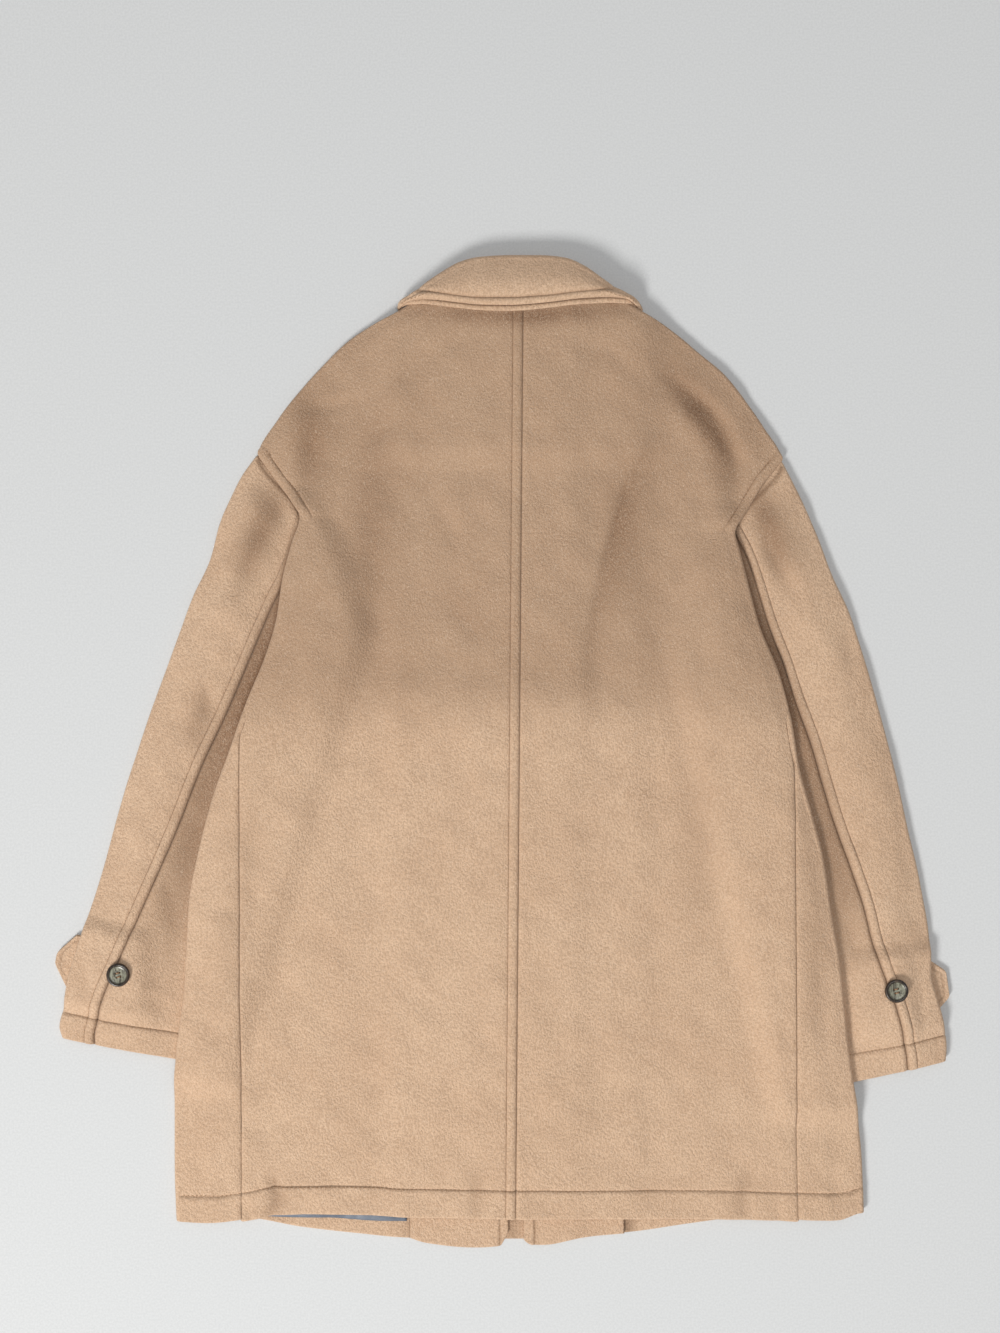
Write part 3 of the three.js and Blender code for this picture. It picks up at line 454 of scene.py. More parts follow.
def shell(name, grid, material, outer=HALF, inner=HALF, shade=0.0, roundness=1.0, floor=None, patches=(),
          turned=False):
    """A closed thin shell on a grid of points at the middle of the cloth, with rounded edges.
    outer and inner are its thickness on the two sides, shade and patches how dark it is, and turned is for a
    grid that runs clockwise. Returns the object and the grid of its outer face."""
    g = np.asarray(grid, float)
    m, n = g.shape[:2]
    way = slice(None, None, -1 if turned else 1)
    g = g[:, way]
    # the third is the painted shade in grooves and beside the edges of layers above
    outer, inner, painted_shade_grid = (np.broadcast_to(value, (m, n))[:, way] for value in (outer, inner, shade))
    along, across = np.gradient(g, axis=1), np.gradient(g, axis=0)
    normal = np.cross(along, across)
    normal /= np.maximum(np.linalg.norm(normal, axis=2, keepdims=True), 1e-9)
    steps = np.linalg.norm(np.diff(g, axis=1), axis=2)
    run = np.concatenate([np.zeros((m, 1)), np.cumsum(steps, axis=1)], axis=1)
    steps = np.linalg.norm(np.diff(g, axis=0), axis=2)
    rise = np.concatenate([np.zeros((1, n)), np.cumsum(steps, axis=0)], axis=0)
    edge = np.minimum(np.minimum(run, run[:, -1:] - run), np.minimum(rise, rise[-1:] - rise))
    full = np.clip(edge / (roundness * max(np.max(outer), 0.2)), 0, 1)
    lens = np.maximum(np.sqrt(1 - (1 - full) ** 2), 0.12)[..., None]
    top = g + normal * outer[..., None] * lens
    bottom = g - normal * inner[..., None] * lens
    if floor is not None:
        for skin in (top, bottom):
            skin[..., 2] = np.maximum(skin[..., 2], floor)
    index = np.arange(m * n).reshape(m, n)
    low = index + m * n
    faces = [
        np.stack([index[:-1, :-1], index[:-1, 1:], index[1:, 1:], index[1:, :-1]], -1).reshape(-1, 4),
        np.stack([low[:-1, :-1], low[1:, :-1], low[1:, 1:], low[:-1, 1:]], -1).reshape(-1, 4),
        np.stack([index[:-1, 0], index[1:, 0], low[1:, 0], low[:-1, 0]], -1),
        np.stack([index[:-1, -1], low[:-1, -1], low[1:, -1], index[1:, -1]], -1),
        np.stack([index[0, :-1], low[0, :-1], low[0, 1:], index[0, 1:]], -1),
        np.stack([index[-1, :-1], index[-1, 1:], low[-1, 1:], low[-1, :-1]], -1),
    ]
    vertices = np.concatenate([top.reshape(-1, 3), bottom.reshape(-1, 3)])
    # painted shade in the cloth's hollows and creases and a painted shadow under the collar; above the middle
    # of the back more painted shade, where the light falls off toward the collar
    brushed = painted_shade(patches, vertices[:, 0], vertices[:, 1])
    if patches is PAINTED_SHADE_PATCHES:
        brushed = np.clip(brushed + UPPER_PAINTED_SHADE * smooth((vertices[:, 1] - 2) / 75), 0, 1)
    obj = make_object(name, vertices, np.concatenate(faces), material, np.tile(painted_shade_grid.ravel(), 2), brushed)
    return obj, top[:, way]


def stations(length, near, far, middle):
    """Distances from 0 to length: close together at both ends, as listed, and even between."""
    near, far = np.array(near, float), np.array(far, float)
    total = np.asarray(length, float)[..., None]
    squeeze = np.minimum(1, total / (near[-1] + far[-1] + 2))
    a, b = near * squeeze, total - far[::-1] * squeeze
    between = lerp(a[..., -1:], b[..., :1], np.linspace(0, 1, middle + 2)[1:-1])
    return np.concatenate([np.broadcast_to(a, (*total.shape[:-1], len(near))), between, b], axis=-1)


SEAM_STEPS = [0, 0.4, 0.9, 1.6, 2.6, 4, 5.5, 6.8, 7.7, 8.4, 9.0, 9.6, 10.3, 11.2, 12.4, 14, 17, 20]
EDGE_STEPS = [0, 0.4, 0.9, 1.6, 2.6, 4, 6, 8, 9.2, 10.2, 11.2, 12.2, 13.2, 14.5, 17, 20]
PLAIN_STEPS = [0, 0.5, 1.2, 2.4, 5]


def body_rows():
    """Heights of the body's rows, closest at the hem and beside the armholes."""
    low = [0, 0.5, 1.1, 2, 3.2, 5, 8, 12, 16, 19.5, 21.5, 22.8, 23.8, 24.6, 25.4, 26.3, 27.6, 30, 34]
    return np.concatenate([np.array(low) + HEM_Y, np.arange(-404.5, 204, 4.6), np.arange(206, 298, 2.8),
                           np.arange(300, NECK_SEAM_Y, 4.4), [NECK_SEAM_Y]])


def hem_y(table, x, y):
    """Moves heights near the hem to its curve."""
    return y + (read(table, x) - HEM_Y) * np.clip(1 - (y - HEM_Y) / 90, 0, 1)


def neck_y(x, y):
    """Moves the fronts' heights down to the front neckline."""
    dip = 84 * np.clip(1 - ((x - MIDDLE_X) / 96) ** 2, 0, 1)
    return y - dip * np.clip(1 - (NECK_SEAM_Y - y) / 190, 0, 1) ** 1.5


def body_edge(side, y):
    """The fold, armhole or shoulder that ends both body panels at each height. The front goes right round the
    fold up to the side seam's top, and above it both panels go half-way round and meet."""
    out, meet, top = side["out"], side["meet"], side["armhole"][-1][0]
    fold = read(side["fold"], y)
    probe = fold - out * 5
    high, _ = body_top(side, probe, y)
    low = front_z(side, probe, y) + HALF
    radius = (high - low) / 2
    folded = fold - out * (radius + HALF)
    seam = read(side["armhole"], y) - out * SEAM_GAP
    opened = smooth((y - meet + 4) / 12) * (1 - smooth((y - top + 1) / 9))
    split = smooth((y - 34) / 10)
    return dict(x=lerp(folded, seam, opened), low=low, radius=radius, z=(low + high) / 2,
                front=lerp(lerp(1, HALF_WAY, split), NO_TURN, opened),
                back=lerp(NO_TURN, HALF_WAY, split * (1 - opened)), moved=smooth((y - 29) / 8))


def round_fold(side, fold, y, start, turn, steps):
    """Rows of points round the body's fold, from an angle and through a turn."""
    a = start + turn[:, None] * np.arange(1, steps + 1) / steps
    x = fold["x"][:, None] + side["out"] * fold["radius"][:, None] * np.cos(a)
    z = fold["z"][:, None] + fold["radius"][:, None] * np.sin(a)
    return np.stack([x, np.broadcast_to(y[:, None], x.shape), z], -1)


def side_seam_x(side, fold, y):
    """The side seam, which stays just inside the fold."""
    inside = fold["x"] - side["out"] * CLOTH
    seam = read(side["side_seam"], y)
    return np.minimum(seam, inside) if side["out"] > 0 else np.maximum(seam, inside)


def back_panel(name, side):
    """Half of the back, with its hem turned up inside."""
    out = side["out"]
    y = body_rows()
    fold = body_edge(side, y)
    centre = centre_back(y) + out * SEAM_GAP
    edge = lerp(side_seam_x(side, fold, y) - out * SEAM_GAP, fold["x"], fold["moved"])
    d = stations(np.abs(edge - centre), SEAM_STEPS, EDGE_STEPS, 40)
    x = centre[:, None] + out * d
    base = np.broadcast_to(y[:, None], x.shape)
    py = hem_y(BACK_HEM, x, base)
    z, shade = body_top(side, x, py)
    flat = np.stack([x, py, z], -1)
    bend = round_fold(side, dict(fold, x=edge), y, math.pi / 2, -math.pi * fold["back"], 7)
    bend[..., 2] += (flat[:, -1, 2] - fold["z"] - fold["radius"])[:, None]
    grid = np.concatenate([flat, bend], axis=1)
    shade = np.concatenate([shade, np.zeros(bend.shape[:2])], axis=1)
    # the hem turns under and goes back up inside
    hem_turn = []
    radius = (CLOTH + 0.3) / 2
    for a in np.linspace(0, math.pi, 9)[1:]:
        row = grid[0].copy()
        row[:, 1] -= radius * math.sin(a)
        row[:, 2] -= radius * (1 - math.cos(a))
        hem_turn.append(row)
    for up in (4, 10, 16, 22):
        row = hem_turn[7].copy()
        row[:, 1] += up
        hem_turn.append(row)
    grid = np.concatenate([np.array(hem_turn[::-1]), grid])
    shade = np.concatenate([np.zeros((len(hem_turn), shade.shape[1])), shade])
    obj, top = shell(name, grid, WOOL, shade=shade, patches=PAINTED_SHADE_PATCHES, turned=out < 0)
    return obj, top, len(hem_turn)


def front_panel(name, side):
    """A front: flat on the floor, round the body's fold, and over to the side seam."""
    out = side["out"]
    y = body_rows()
    fold = body_edge(side, y)
    inner = FRONT_LEFT_EDGE if out < 0 else FRONT_RIGHT_EDGE
    d = stations(np.abs(fold["x"] - inner), [0, 0.5, 1.2, 2.4, 5, 10], [0, 2, 5, 10], 26)
    x = inner + out * d
    base = np.broadcast_to(y[:, None], x.shape)
    py = neck_y(x, hem_y(FRONT_HEM, x, base))
    lift = -creases(UNDER_CREASES, x, py) * smooth((np.abs(fold["x"][:, None] - x) - 8) / 20)
    z = front_z(side, x, py) + HALF + lift
    z[:, -1] = fold["low"]
    flat = np.stack([x, py, z], -1)
    fy = hem_y(FRONT_HEM, fold["x"], y)
    turn = math.pi * fold["front"]
    bend = round_fold(side, fold, fy, -math.pi / 2, turn, 9)
    last, end = bend[:, -1], turn - math.pi / 2
    seam = side_seam_x(side, fold, y) + out * SEAM_GAP
    whole = smooth((fold["front"] - 0.9) / 0.1)
    length = lerp(0.2, np.abs(seam - fold["x"]), whole)
    over = []
    for t in stations(100, [0, 2, 5, 9, 14], [0, 0.6, 1.3, 2.2, 4, 8], 12)[1:] / 100:
        reach = length * t
        bx, bz = last[:, 0] - out * np.sin(end) * reach, last[:, 2] + np.cos(end) * reach
        topped, _ = body_top(side, bx, hem_y(BACK_HEM, bx, y))
        bz = lerp(bz, topped, whole)
        over.append(np.stack([bx, lerp(fy, hem_y(BACK_HEM, bx, y), min(1, 3 * t)), bz], -1))
    over = np.stack(over, 1)
    _, over_shade = body_top(side, over[..., 0], over[..., 1])
    grid = np.concatenate([flat, bend, over], axis=1)
    # painted shadow beside the facings' edges, and on the left front in the gaps at the centre front, near
    # the hem
    beside = groove(x - (FACING_LEFT[0] - 1 if out < 0 else FACING_RIGHT[0] + 2), 1.8)
    if out < 0:
        beside = beside + groove(x - 8, 1.8) + 0.6 * groove(x - 20, 1.2)
    beside = beside * (y < -380)[:, None]
    shade = np.concatenate([beside, np.zeros(bend.shape[:2]), over_shade * whole[:, None]], 1)
    obj, top = shell(name, grid, WOOL, shade=shade, floor=0.0, patches=PAINTED_SHADE_PATCHES, turned=out > 0)
    return obj, top, flat.shape[1] + bend.shape[1]


def facing(name, side):
    """The wide inner layer beside a front's edge."""
    out = side["out"]
    outer, inner = FACING_LEFT if out < 0 else FACING_RIGHT
    y = body_rows()
    y = y[y <= FACING_TOP_Y]
    d = stations(np.full(len(y), abs(outer - inner)), SEAM_STEPS[:14], PLAIN_STEPS, 16)
    x = inner + out * d
    py = neck_y(x, hem_y(FACING_HEM, x, np.broadcast_to(y[:, None], x.shape)))
    # the inner lower corner is rounded off
    corner = np.clip((9 - d) / 9, 0, 1) ** 2 * 5
    py = py + corner * np.clip(1 - (y[:, None] - HEM_Y) / 30, 0, 1)
    line = 8 if out < 0 else 10
    near = groove(d - line, 1.3)
    z = front_z(side, x, py) + PLY + HALF - 0.5 * near + 0.3 * smooth((line - d) / 2)
    grid = np.stack([x, py, z], -1)
    # painted shade in the stitching's groove, and a painted shadow along the facing's outer edge
    rim = 0.9 * groove(abs(outer - inner) - d, 1.0)
    return shell(name, grid, WOOL, shade=0.6 * near + rim, turned=out < 0)


def lining(name):
    """The strip of lining that shows below the back's hem."""
    y = np.concatenate([np.linspace(-449.6, -443, 7), np.linspace(-438, -385, 14)])
    x = np.linspace(-91, -236, 60)
    gx, gy = np.meshgrid(x, y)
    wave = 0.25 * np.sin(gx / 7.3) + 0.2 * np.sin(gx / 3.1 + 1)
    edge = (0.9 * np.sin(gx / 23.0) + 5 * smooth((-112 - gx) / 60)) * np.clip((-436 - gy) / 10, 0, 1)
    z = front_z(LEFT, gx, gy) + PLY + LINING / 2 + np.abs(wave)
    grid = np.stack([gx, gy + edge, z], -1)
    return shell(name, grid, LINING_CLOTH, outer=LINING / 2, inner=LINING / 2, turned=True)


# ---- sleeves ----
TUCKED_ROWS = 4


def sleeve_frame(side):
    """Rows across a sleeve from its outer fold to its inner one, with the back seam's place on each."""
    rows = side["sleeve_rows"]
    top, low = rows[0][0], rows[-1][0]
    span = top - low
    near = np.array([0, 1.2, 2.5, 4, 6, 9])
    cuff = np.array([0, 0.5, 1.1, 2, 3.4, 6, 10, 15, 19, 22, 23.6, 24.6, 25.4, 26.3, 27.6, 30, 34])
    middle = np.linspace(9, span - 34, 122)[1:-1]
    outer_y = top - np.concatenate([near, middle, span - cuff[::-1]])
    inner_y = read([(r[0], r[1]) for r in rows], outer_y)
    bow = read([(r[0], r[2]) for r in rows], outer_y)
    outer = np.stack([read(side["sleeve_fold"], outer_y), outer_y], -1)
    inner = np.stack([sleeve_inner_x(side, inner_y), inner_y], -1)
    along = inner - outer
    width = np.linalg.norm(along, axis=1)
    along = along / width[:, None]
    lift = np.stack([-along[:, 1], along[:, 0]], -1)
    lift = np.where(lift[:, 1:] < 0, -lift, lift)

    def point(distance):
        t = distance / width[:, None]
        bowed = (bow * side["armhole_bow"])[:, None] * 4 * t * (1 - t)
        return outer[:, None] + along[:, None] * distance[..., None] + lift[:, None] * bowed[..., None]

    probe = np.linspace(0, 1, 600)[None, :] * width[:, None]
    p = point(probe)
    outside = (p[..., 0] - read(side["back_seam"], p[..., 1])) * side["out"] > 0
    seam = probe[np.arange(len(width)), np.maximum(outside.argmin(axis=1), 1)]
    # smoothed, because the probe's steps are coarse
    for _ in range(3):
        seam[1:-1] = (seam[:-2] + 2 * seam[1:-1] + seam[2:]) / 4
    return dict(point=point, width=width, along=along, seam=seam,
                from_cuff=outer_y - low, from_top=top - outer_y)


def sleeve_low(side, p):
    lift = -creases(UNDER_CREASES, p[..., 0], p[..., 1])
    return tab_below(side, p[..., 0], p[..., 1]) * TAB_LIFT + HALF + lift


def sleeve_high(side, f, p, distance, on_top):
    """Middle of the sleeve's upper layer, with its seam, stitching, creases and fullness, and the painted
    shade in its grooves and beside the body's edge.
    """
    x, y = p[..., 0], p[..., 1]
    to_body = (x - read(side["fold"], y)) * side["out"]
    uncovered = smooth((to_body - 1) / 22)
    crown = SLEEVE_CROWN * smooth(distance / 38) ** 0.8 * smooth((to_body + 2) / 58)
    fade = smooth(f["from_top"][:, None] / 26) * (0.45 + 0.55 * smooth(f["from_cuff"][:, None] / 40))
    lifted = tab_below(side, x, y) * TAB_LIFT + CLOTH + HALF
    fullness = crown * fade + SLEEVE_CREASE * creases(SLEEVE_CREASES, x, y) + UNEVEN * ripple(x + 300, y)
    z = lifted + SLEEVE_HOLLOW + uncovered * fullness
    from_seam = np.abs(distance - f["seam"][:, None])
    # painted shade where the body's edge lies over the sleeve
    shade = 0.8 * groove(to_body - 0.5, 2.4) * smooth((y + 30) / 80)
    if on_top:
        rise, dark = topstitched(from_seam, 0.9, 0.8)
        z, shade = z + rise, shade + dark
    z = np.maximum(z, lifted + 1.2) - 2.6 * groove(from_seam, 2.0) - 1.2 * groove(f["from_top"][:, None], 2.4)
    # the cuff's turned hem; with painted shade in the back seam's crease and the hem's stitching groove
    rise, dark = hemmed(f["from_cuff"][:, None], 0.9, 25)
    return z + rise, np.clip(shade + groove(from_seam, 1.7) + dark, 0, 1)


def sleeve_panel(name, side, f, outer):
    """The top sleeve, or the under one: from the back seam round its fold to the side on the floor."""
    rows = len(f["width"])
    round_radius = (CLOTH + SLEEVE_HOLLOW) / 2
    seam, width = f["seam"], f["width"]
    sign = -1 if outer else 1
    turn_at = np.full(rows, round_radius + HALF) if outer else width - round_radius - HALF
    span = np.maximum(np.abs(turn_at - seam) - SEAM_GAP, 3)
    steps = SEAM_STEPS if outer else [0, 0.4, 0.9, 1.6, 2.6, 4, 6, 9]
    d = seam[:, None] + sign * (SEAM_GAP + stations(span, steps, [0, 2, 5], 14 if outer else 16))
    p = f["point"](d)
    z, shade = sleeve_high(side, f, p, d, outer)
    high = np.concatenate([p, z[..., None]], -1)
    d = turn_at[:, None] - sign * stations(np.abs(width * 0.55 - turn_at), [0, 2, 5], PLAIN_STEPS[:3], 12)
    p = f["point"](d)
    low = np.concatenate([p, sleeve_low(side, p)[..., None]], -1)
    a = np.linspace(math.pi / 2, -math.pi / 2, 11)[1:-1]
    radius = (high[:, -1, 2] - low[:, 0, 2]) / 2
    middle = (high[:, -1, 2] + low[:, 0, 2]) / 2
    fold_xy = high[:, -1:, :2] + sign * f["along"][:, None] * (round_radius * np.cos(a))[None, :, None]
    fold_z = middle[:, None] + radius[:, None] * np.sin(a)[None]
    bend = np.concatenate([fold_xy, fold_z[..., None]], -1)
    grid = np.concatenate([high, bend, low], axis=1)
    shade = np.concatenate([shade, np.zeros((rows, bend.shape[1] + low.shape[1]))], 1)
    cuff = smooth((26 - f["from_cuff"][:, None]) / 3) * np.ones(grid.shape[:2])
    # the armhole's edge goes on, lower, under the body's
    tucked = []
    for inwards, drop_by in ((9, 3.4), (6, 3.2), (3.5, 2.6), (1.5, 1.2)):
        row = grid[0].copy()
        row[:, 0] -= side["out"] * inwards * 0.92
        row[:, 1] += inwards * 0.38
        row[:, 2] = np.maximum(row[:, 2] - drop_by, HALF)
        tucked.append(row)
    grid = np.concatenate([np.array(tucked), grid])
    # painted shade on the rows tucked under the body's edge
    shade = np.concatenate([np.full((TUCKED_ROWS, shade.shape[1]), 0.8), shade])
    cuff = np.concatenate([np.zeros((TUCKED_ROWS, cuff.shape[1])), cuff])
    return shell(name, grid, WOOL, inner=HALF + 0.35 * cuff, shade=shade, floor=0.0,
                 patches=SLEEVE_PAINTED_SHADE if outer else UNDER_SLEEVE_PAINTED_SHADE, turned=outer == (side["out"] > 0))


# ---- collar ----
def sections(rows, count):
    """Smooth curves through the columns of a few rows, at evenly spaced places."""
    rows = np.array(rows, float)
    t = np.linspace(0, len(rows) - 1, count)
    return np.stack([read(list(enumerate(rows[:, c])), t) for c in range(rows.shape[1])], -1)


def collar_layer(name, upper):
    """One layer of the turned-down collar: its fall, its roll, and its way back to the neck seam."""
    s = sections(COLLAR, 150)
    edge = s[:, 0:2].copy()
    if not upper:
        edge[:, 1] = s[:, 2] - 0.9 * s[:, 5]
    roll = s[:, 3:5]
    full = s[:, 5]
    outside = COLLAR_GAP if upper else 0
    radius = (COLLAR_ROLL + outside) * (0.35 + 0.65 * full)
    inset = radius + HALF + COLLAR_GAP - outside
    along = roll - edge
    length = np.linalg.norm(along, axis=1)
    along = along / length[:, None]
    reach = np.maximum(length - inset, 0.6)
    side_x = np.clip(s[:, 0], -70, 98)
    base = np.where(side_x < MIDDLE_X, back_z(LEFT, side_x, NECK_SEAM_Y), back_z(RIGHT, side_x, NECK_SEAM_Y))
    lift = HALF + COLLAR_LIFT + 2 * COLLAR_ROLL + outside
    d = stations(reach, [0, 0.4, 0.9, 1.6, 2.6, 4, 5, 5.8, 6.4, 7.0, 7.8, 9, 11], [0, 1.5], 8)
    p = edge[:, None] + along[:, None] * d[..., None]
    sag = COLLAR_SAG * smooth((p[..., 1] - NECK_SEAM_Y - 4) / 34)
    z = lerp(5.0 if upper else 3.0, base[:, None] + lift - sag, full[:, None] ** 0.8)
    crown = COLLAR_CROWN * np.sin(np.pi * np.clip(d / reach[:, None], 0, 1) ** 0.8) ** 0.9 * full[:, None]
    near = groove(d - 6.4, 1.7) * full[:, None] if upper else 0 * d
    wobble = 0.21 * np.sin(edge[:, :1] / 17.0) + 0.12 * np.sin(edge[:, :1] / 6.1 + 2)
    z = z - 2.2 * near + 0.3 * ripple(p[..., 0], p[..., 1]) + wobble * (1 - d / reach[:, None])
    if upper:
        z = z + crown + 1.3 * np.sin(np.pi * np.clip(d / 6.6, 0, 1)) * full[:, None]
    fall = np.concatenate([p, z[..., None]], -1)
    a = np.linspace(math.pi / 2, -math.pi / 2, 10)[1:]
    centre = fall[:, -1]
    bend_xy = centre[:, None, :2] + along[:, None] * (radius[:, None] * np.cos(a))[..., None]
    bend_z = centre[:, None, 2] - radius[:, None] + radius[:, None] * np.sin(a)
    bend = np.concatenate([bend_xy, bend_z[..., None]], -1)
    back = []
    toward = np.clip((edge[:, 1] + along[:, 1] * reach - NECK_SEAM_Y - 1), 0.8, reach)
    for t in (0.25, 0.5, 0.75, 1):
        q = bend[:, -1].copy()
        q[:, :2] -= along * (toward * t)[:, None]
        back.append(q)
    grid = np.concatenate([fall, bend, np.stack(back, 1)], 1)
    # on the under collar a painted shadow just under the upper collar's edge, on the upper one painted shade
    # in its stitching's crease
    painted_edge_shadow = 0.9 * groove(d - 5.2, 1.3) if not upper else 0.75 * near
    shade = np.concatenate([painted_edge_shadow, np.zeros((len(s), grid.shape[1] - d.shape[1]))], 1)
    return shell(name, grid, WOOL, outer=1.4, inner=1.2, shade=shade, turned=True)


def collar_end(name, side):
    """The collar's front half, flat on the floor under the coat."""
    s = sections(side["collar_end"], 40)
    u = 0.5 - 0.5 * np.cos(np.pi * np.linspace(0, 1, 34))
    x = lerp(s[:, 0:1], s[:, 2:3], u)
    y = lerp(s[:, 1:2], s[:, 3:4], u)
    z = np.full(x.shape, COLLAR_END / 2)
    near = groove((u * 34)[None] - 6.4, 1.2) * np.ones(x.shape)
    grid = np.stack([x, y, z], -1)
    # painted shade in the stitching's groove
    return shell(name, grid, WOOL, outer=COLLAR_END / 2, inner=COLLAR_END / 2 - 0.35 * near, shade=0.6 * near,
                 roundness=0.9, floor=0.0, turned=side["out"] < 0)


# ---- tabs, buttons, stitches ----
def cuff_tab(name, side):
    """A pointed tab of two layers, of which the upper one is topstitched and lies a little back."""
    tab = side["tab"]
    u = np.concatenate([[0, 0.4, 0.9, 1.6, 2.6, 4, 5.5, 7, 9, 11, 13, 14.4, 15.6, 17, 19],
                        np.linspace(22, TAB_LENGTH, 14)])
    half = np.where(u < TAB_POINT, lerp(tab["blunt"] + 3.5, TAB_HALF_WIDTH, u / TAB_POINT), TAB_HALF_WIDTH)
    half = half - 2.0 * np.exp(-u / 0.9)
    rim = np.array([0.78, 0.86, 0.92, 0.96, 0.985, 1])
    v = np.concatenate([-rim[::-1], np.linspace(-0.68, 0.68, 15), rim])
    lx = np.broadcast_to(u[:, None], (len(u), len(v)))
    ly = half[:, None] * v[None]
    near = groove(np.minimum(half[:, None] - np.abs(ly), lx + 1.2) - 6.2, 1.1)
    c, s = math.cos(tab["turn"]), math.sin(tab["turn"])
    way = -side["out"]
    for k, (ending, level, back) in enumerate([("_under", 1.05, 0.0), ("", 3.4, 0.35)]):
        fx, fy = (lx + back) * way, ly * (1 - back / 30) * way
        wave = 0.25 * np.sin(ly / 9.0 + 1.3 * k) * np.exp(-lx / 12)
        x, y = tab["x"] + fx * c - fy * s, tab["y"] + fx * s + fy * c
        grid = np.stack([x, y, level + wave - 0.45 * k * near], -1)
        # painted shade in the upper layer's stitching groove
        made = shell(name + ending, grid, WOOL, outer=1.0, inner=1.0, shade=0.55 * k * near, floor=0.0)
    return made


HOLE_RADIUS = 1.05
HOLE_OUT = 2.6            # from the button's middle


def lathe(profile, segments):
    """Turns a profile of (radius, height) points round the z axis, closed at both ends."""
    ring = np.linspace(0, 2 * math.pi, segments, endpoint=False)
    vertices, faces = [(0, 0, profile[0][1])], []
    for r, z in profile[1:-1]:
        vertices += [(r * math.cos(a), r * math.sin(a), z) for a in ring]
    vertices.append((0, 0, profile[-1][1]))
    count = len(profile) - 2
    for k in range(segments):
        nxt = (k + 1) % segments
        faces.append([0, 1 + nxt, 1 + k])
        for r in range(count - 1):
            a, b = 1 + r * segments, 1 + (r + 1) * segments
            faces.append([a + k, a + nxt, b + nxt, b + k])
        a = 1 + (count - 1) * segments
        faces.append([a + k, a + nxt, len(vertices) - 1])
    return np.array(vertices), faces


def add_tube(vertices, faces, centres, across, up, radii):
    """Adds a six-sided tube through the centres."""
    start = len(vertices)
    for centre, radius in zip(centres, radii):
        for q in range(6):
            g = q * math.pi / 3
            vertices.append(centre + (across * math.cos(g) + up * math.sin(g)) * radius)
    for r in range(len(centres) - 1):
        for q in range(6):
            i, j = start + r * 6 + q, start + r * 6 + (q + 1) % 6
            faces.append([i, j, j + 6, i + 6])


def button(name, side, z0, turn):
    """A dished horn button with a rolled rim, four drilled holes and its thread."""
    x0, y0 = side["button"]
    profile = [(0, 0), (9.2, 0), (10.2, 0.5), (10.9, 1.3), (11.15, 2.2), (11.0, 3.2), (10.5, 4.0), (9.8, 4.4),
               (9.0, 4.3), (8.4, 3.8), (8.0, 3.1), (7.4, 2.75), (6, 2.6), (4, 2.5), (2, 2.45), (0, 2.45)]
    vertices, faces = lathe(profile, 72)
    obj = make_object(name, vertices + [x0, y0, z0], faces, HORN)
    drills = bmesh.new()
    spots = []
    for k in range(4):
        a = turn + math.pi / 4 + k * math.pi / 2
        hx, hy = x0 + HOLE_OUT * math.cos(a), y0 + HOLE_OUT * math.sin(a)
        spots.append(np.array([hx, hy]))
        made = bmesh.ops.create_cone(drills, cap_ends=True, segments=20, radius1=HOLE_RADIUS * MM,
                                     radius2=HOLE_RADIUS * MM, depth=0.02)
        bmesh.ops.translate(drills, verts=made["verts"], vec=(hx * MM, hy * MM, z0 * MM))
    mesh = bpy.data.meshes.new("drills")
    drills.to_mesh(mesh)
    drills.free()
    cutter = bpy.data.objects.new("drills", mesh)
    bpy.context.collection.objects.link(cutter)
    cut = obj.modifiers.new("holes", "BOOLEAN")
    cut.operation, cut.object, cut.solver = "DIFFERENCE", cutter, "EXACT"
    bpy.context.view_layer.update()
    done = bpy.data.meshes.new_from_object(obj.evaluated_get(bpy.context.evaluated_depsgraph_get()))
    obj.modifiers.clear()
    obj.data = done
    bpy.data.objects.remove(cutter)
    # two strands of thread over each pair of holes
    climb = [(-0.1, 0.2), (0.05, 2.2), (0.25, 2.95), (0.5, 3.1), (0.75, 2.95), (0.95, 2.2), (1.1, 0.2)]
    vertices, faces = [], []
    for a, b in ((spots[0], spots[1]), (spots[3], spots[2])):
        w = (b - a) / np.linalg.norm(b - a)
        across = np.array([-w[1], w[0], 0])
        for shift in (-0.28, 0.28):
            centres = [np.array([*lerp(a, b, np.clip(t, 0.02, 0.98)), z0 + h]) for t, h in climb]
            centres = [centre + across * shift for centre in centres]
            add_tube(vertices, faces, centres, across, np.array([0, 0, 1]), [0.3] * len(centres))
    make_object(name + "_thread", np.array(vertices), faces, THREAD)
    return obj


stitch_vertices, stitch_faces = [], []
STITCH_LENGTH = 3.1
STITCH_PITCH = 4.1


def add_stitches(path):
    """Lays stitches along a line of points on the cloth's outer face."""
    p = np.asarray(path, float)
    p = p[np.concatenate([[True], np.linalg.norm(np.diff(p, axis=0), axis=1) > 1e-6])]
    run = run_of(p)
    for s in np.arange(2.0, run[-1] - STITCH_LENGTH, STITCH_PITCH):
        spots = [s + STITCH_LENGTH * t for t in (0, 0.18, 0.5, 0.82, 1)]
        line = np.stack([np.interp(spots, run, p[:, c]) for c in range(3)], -1)
        w = line[-1] - line[0]
        w = w / max(np.linalg.norm(w), 1e-6)
        n = np.array([-w[1], w[0], 0])
        n = n / max(np.linalg.norm(n), 1e-6)
        u = np.cross(w, n)
        if u[2] < 0:
            u = -u
        base = len(stitch_vertices)
        centres = [spot + u * rise for spot, rise in zip(line, (-0.5, -0.1, 0.07, -0.1, -0.5))]
        add_tube(stitch_vertices, stitch_faces, centres, n * 1.15, u, (0.1, 0.26, 0.32, 0.26, 0.1))
        stitch_faces.append([base + q for q in range(5, -1, -1)])
        stitch_faces.append([base + 24 + q for q in range(6)])


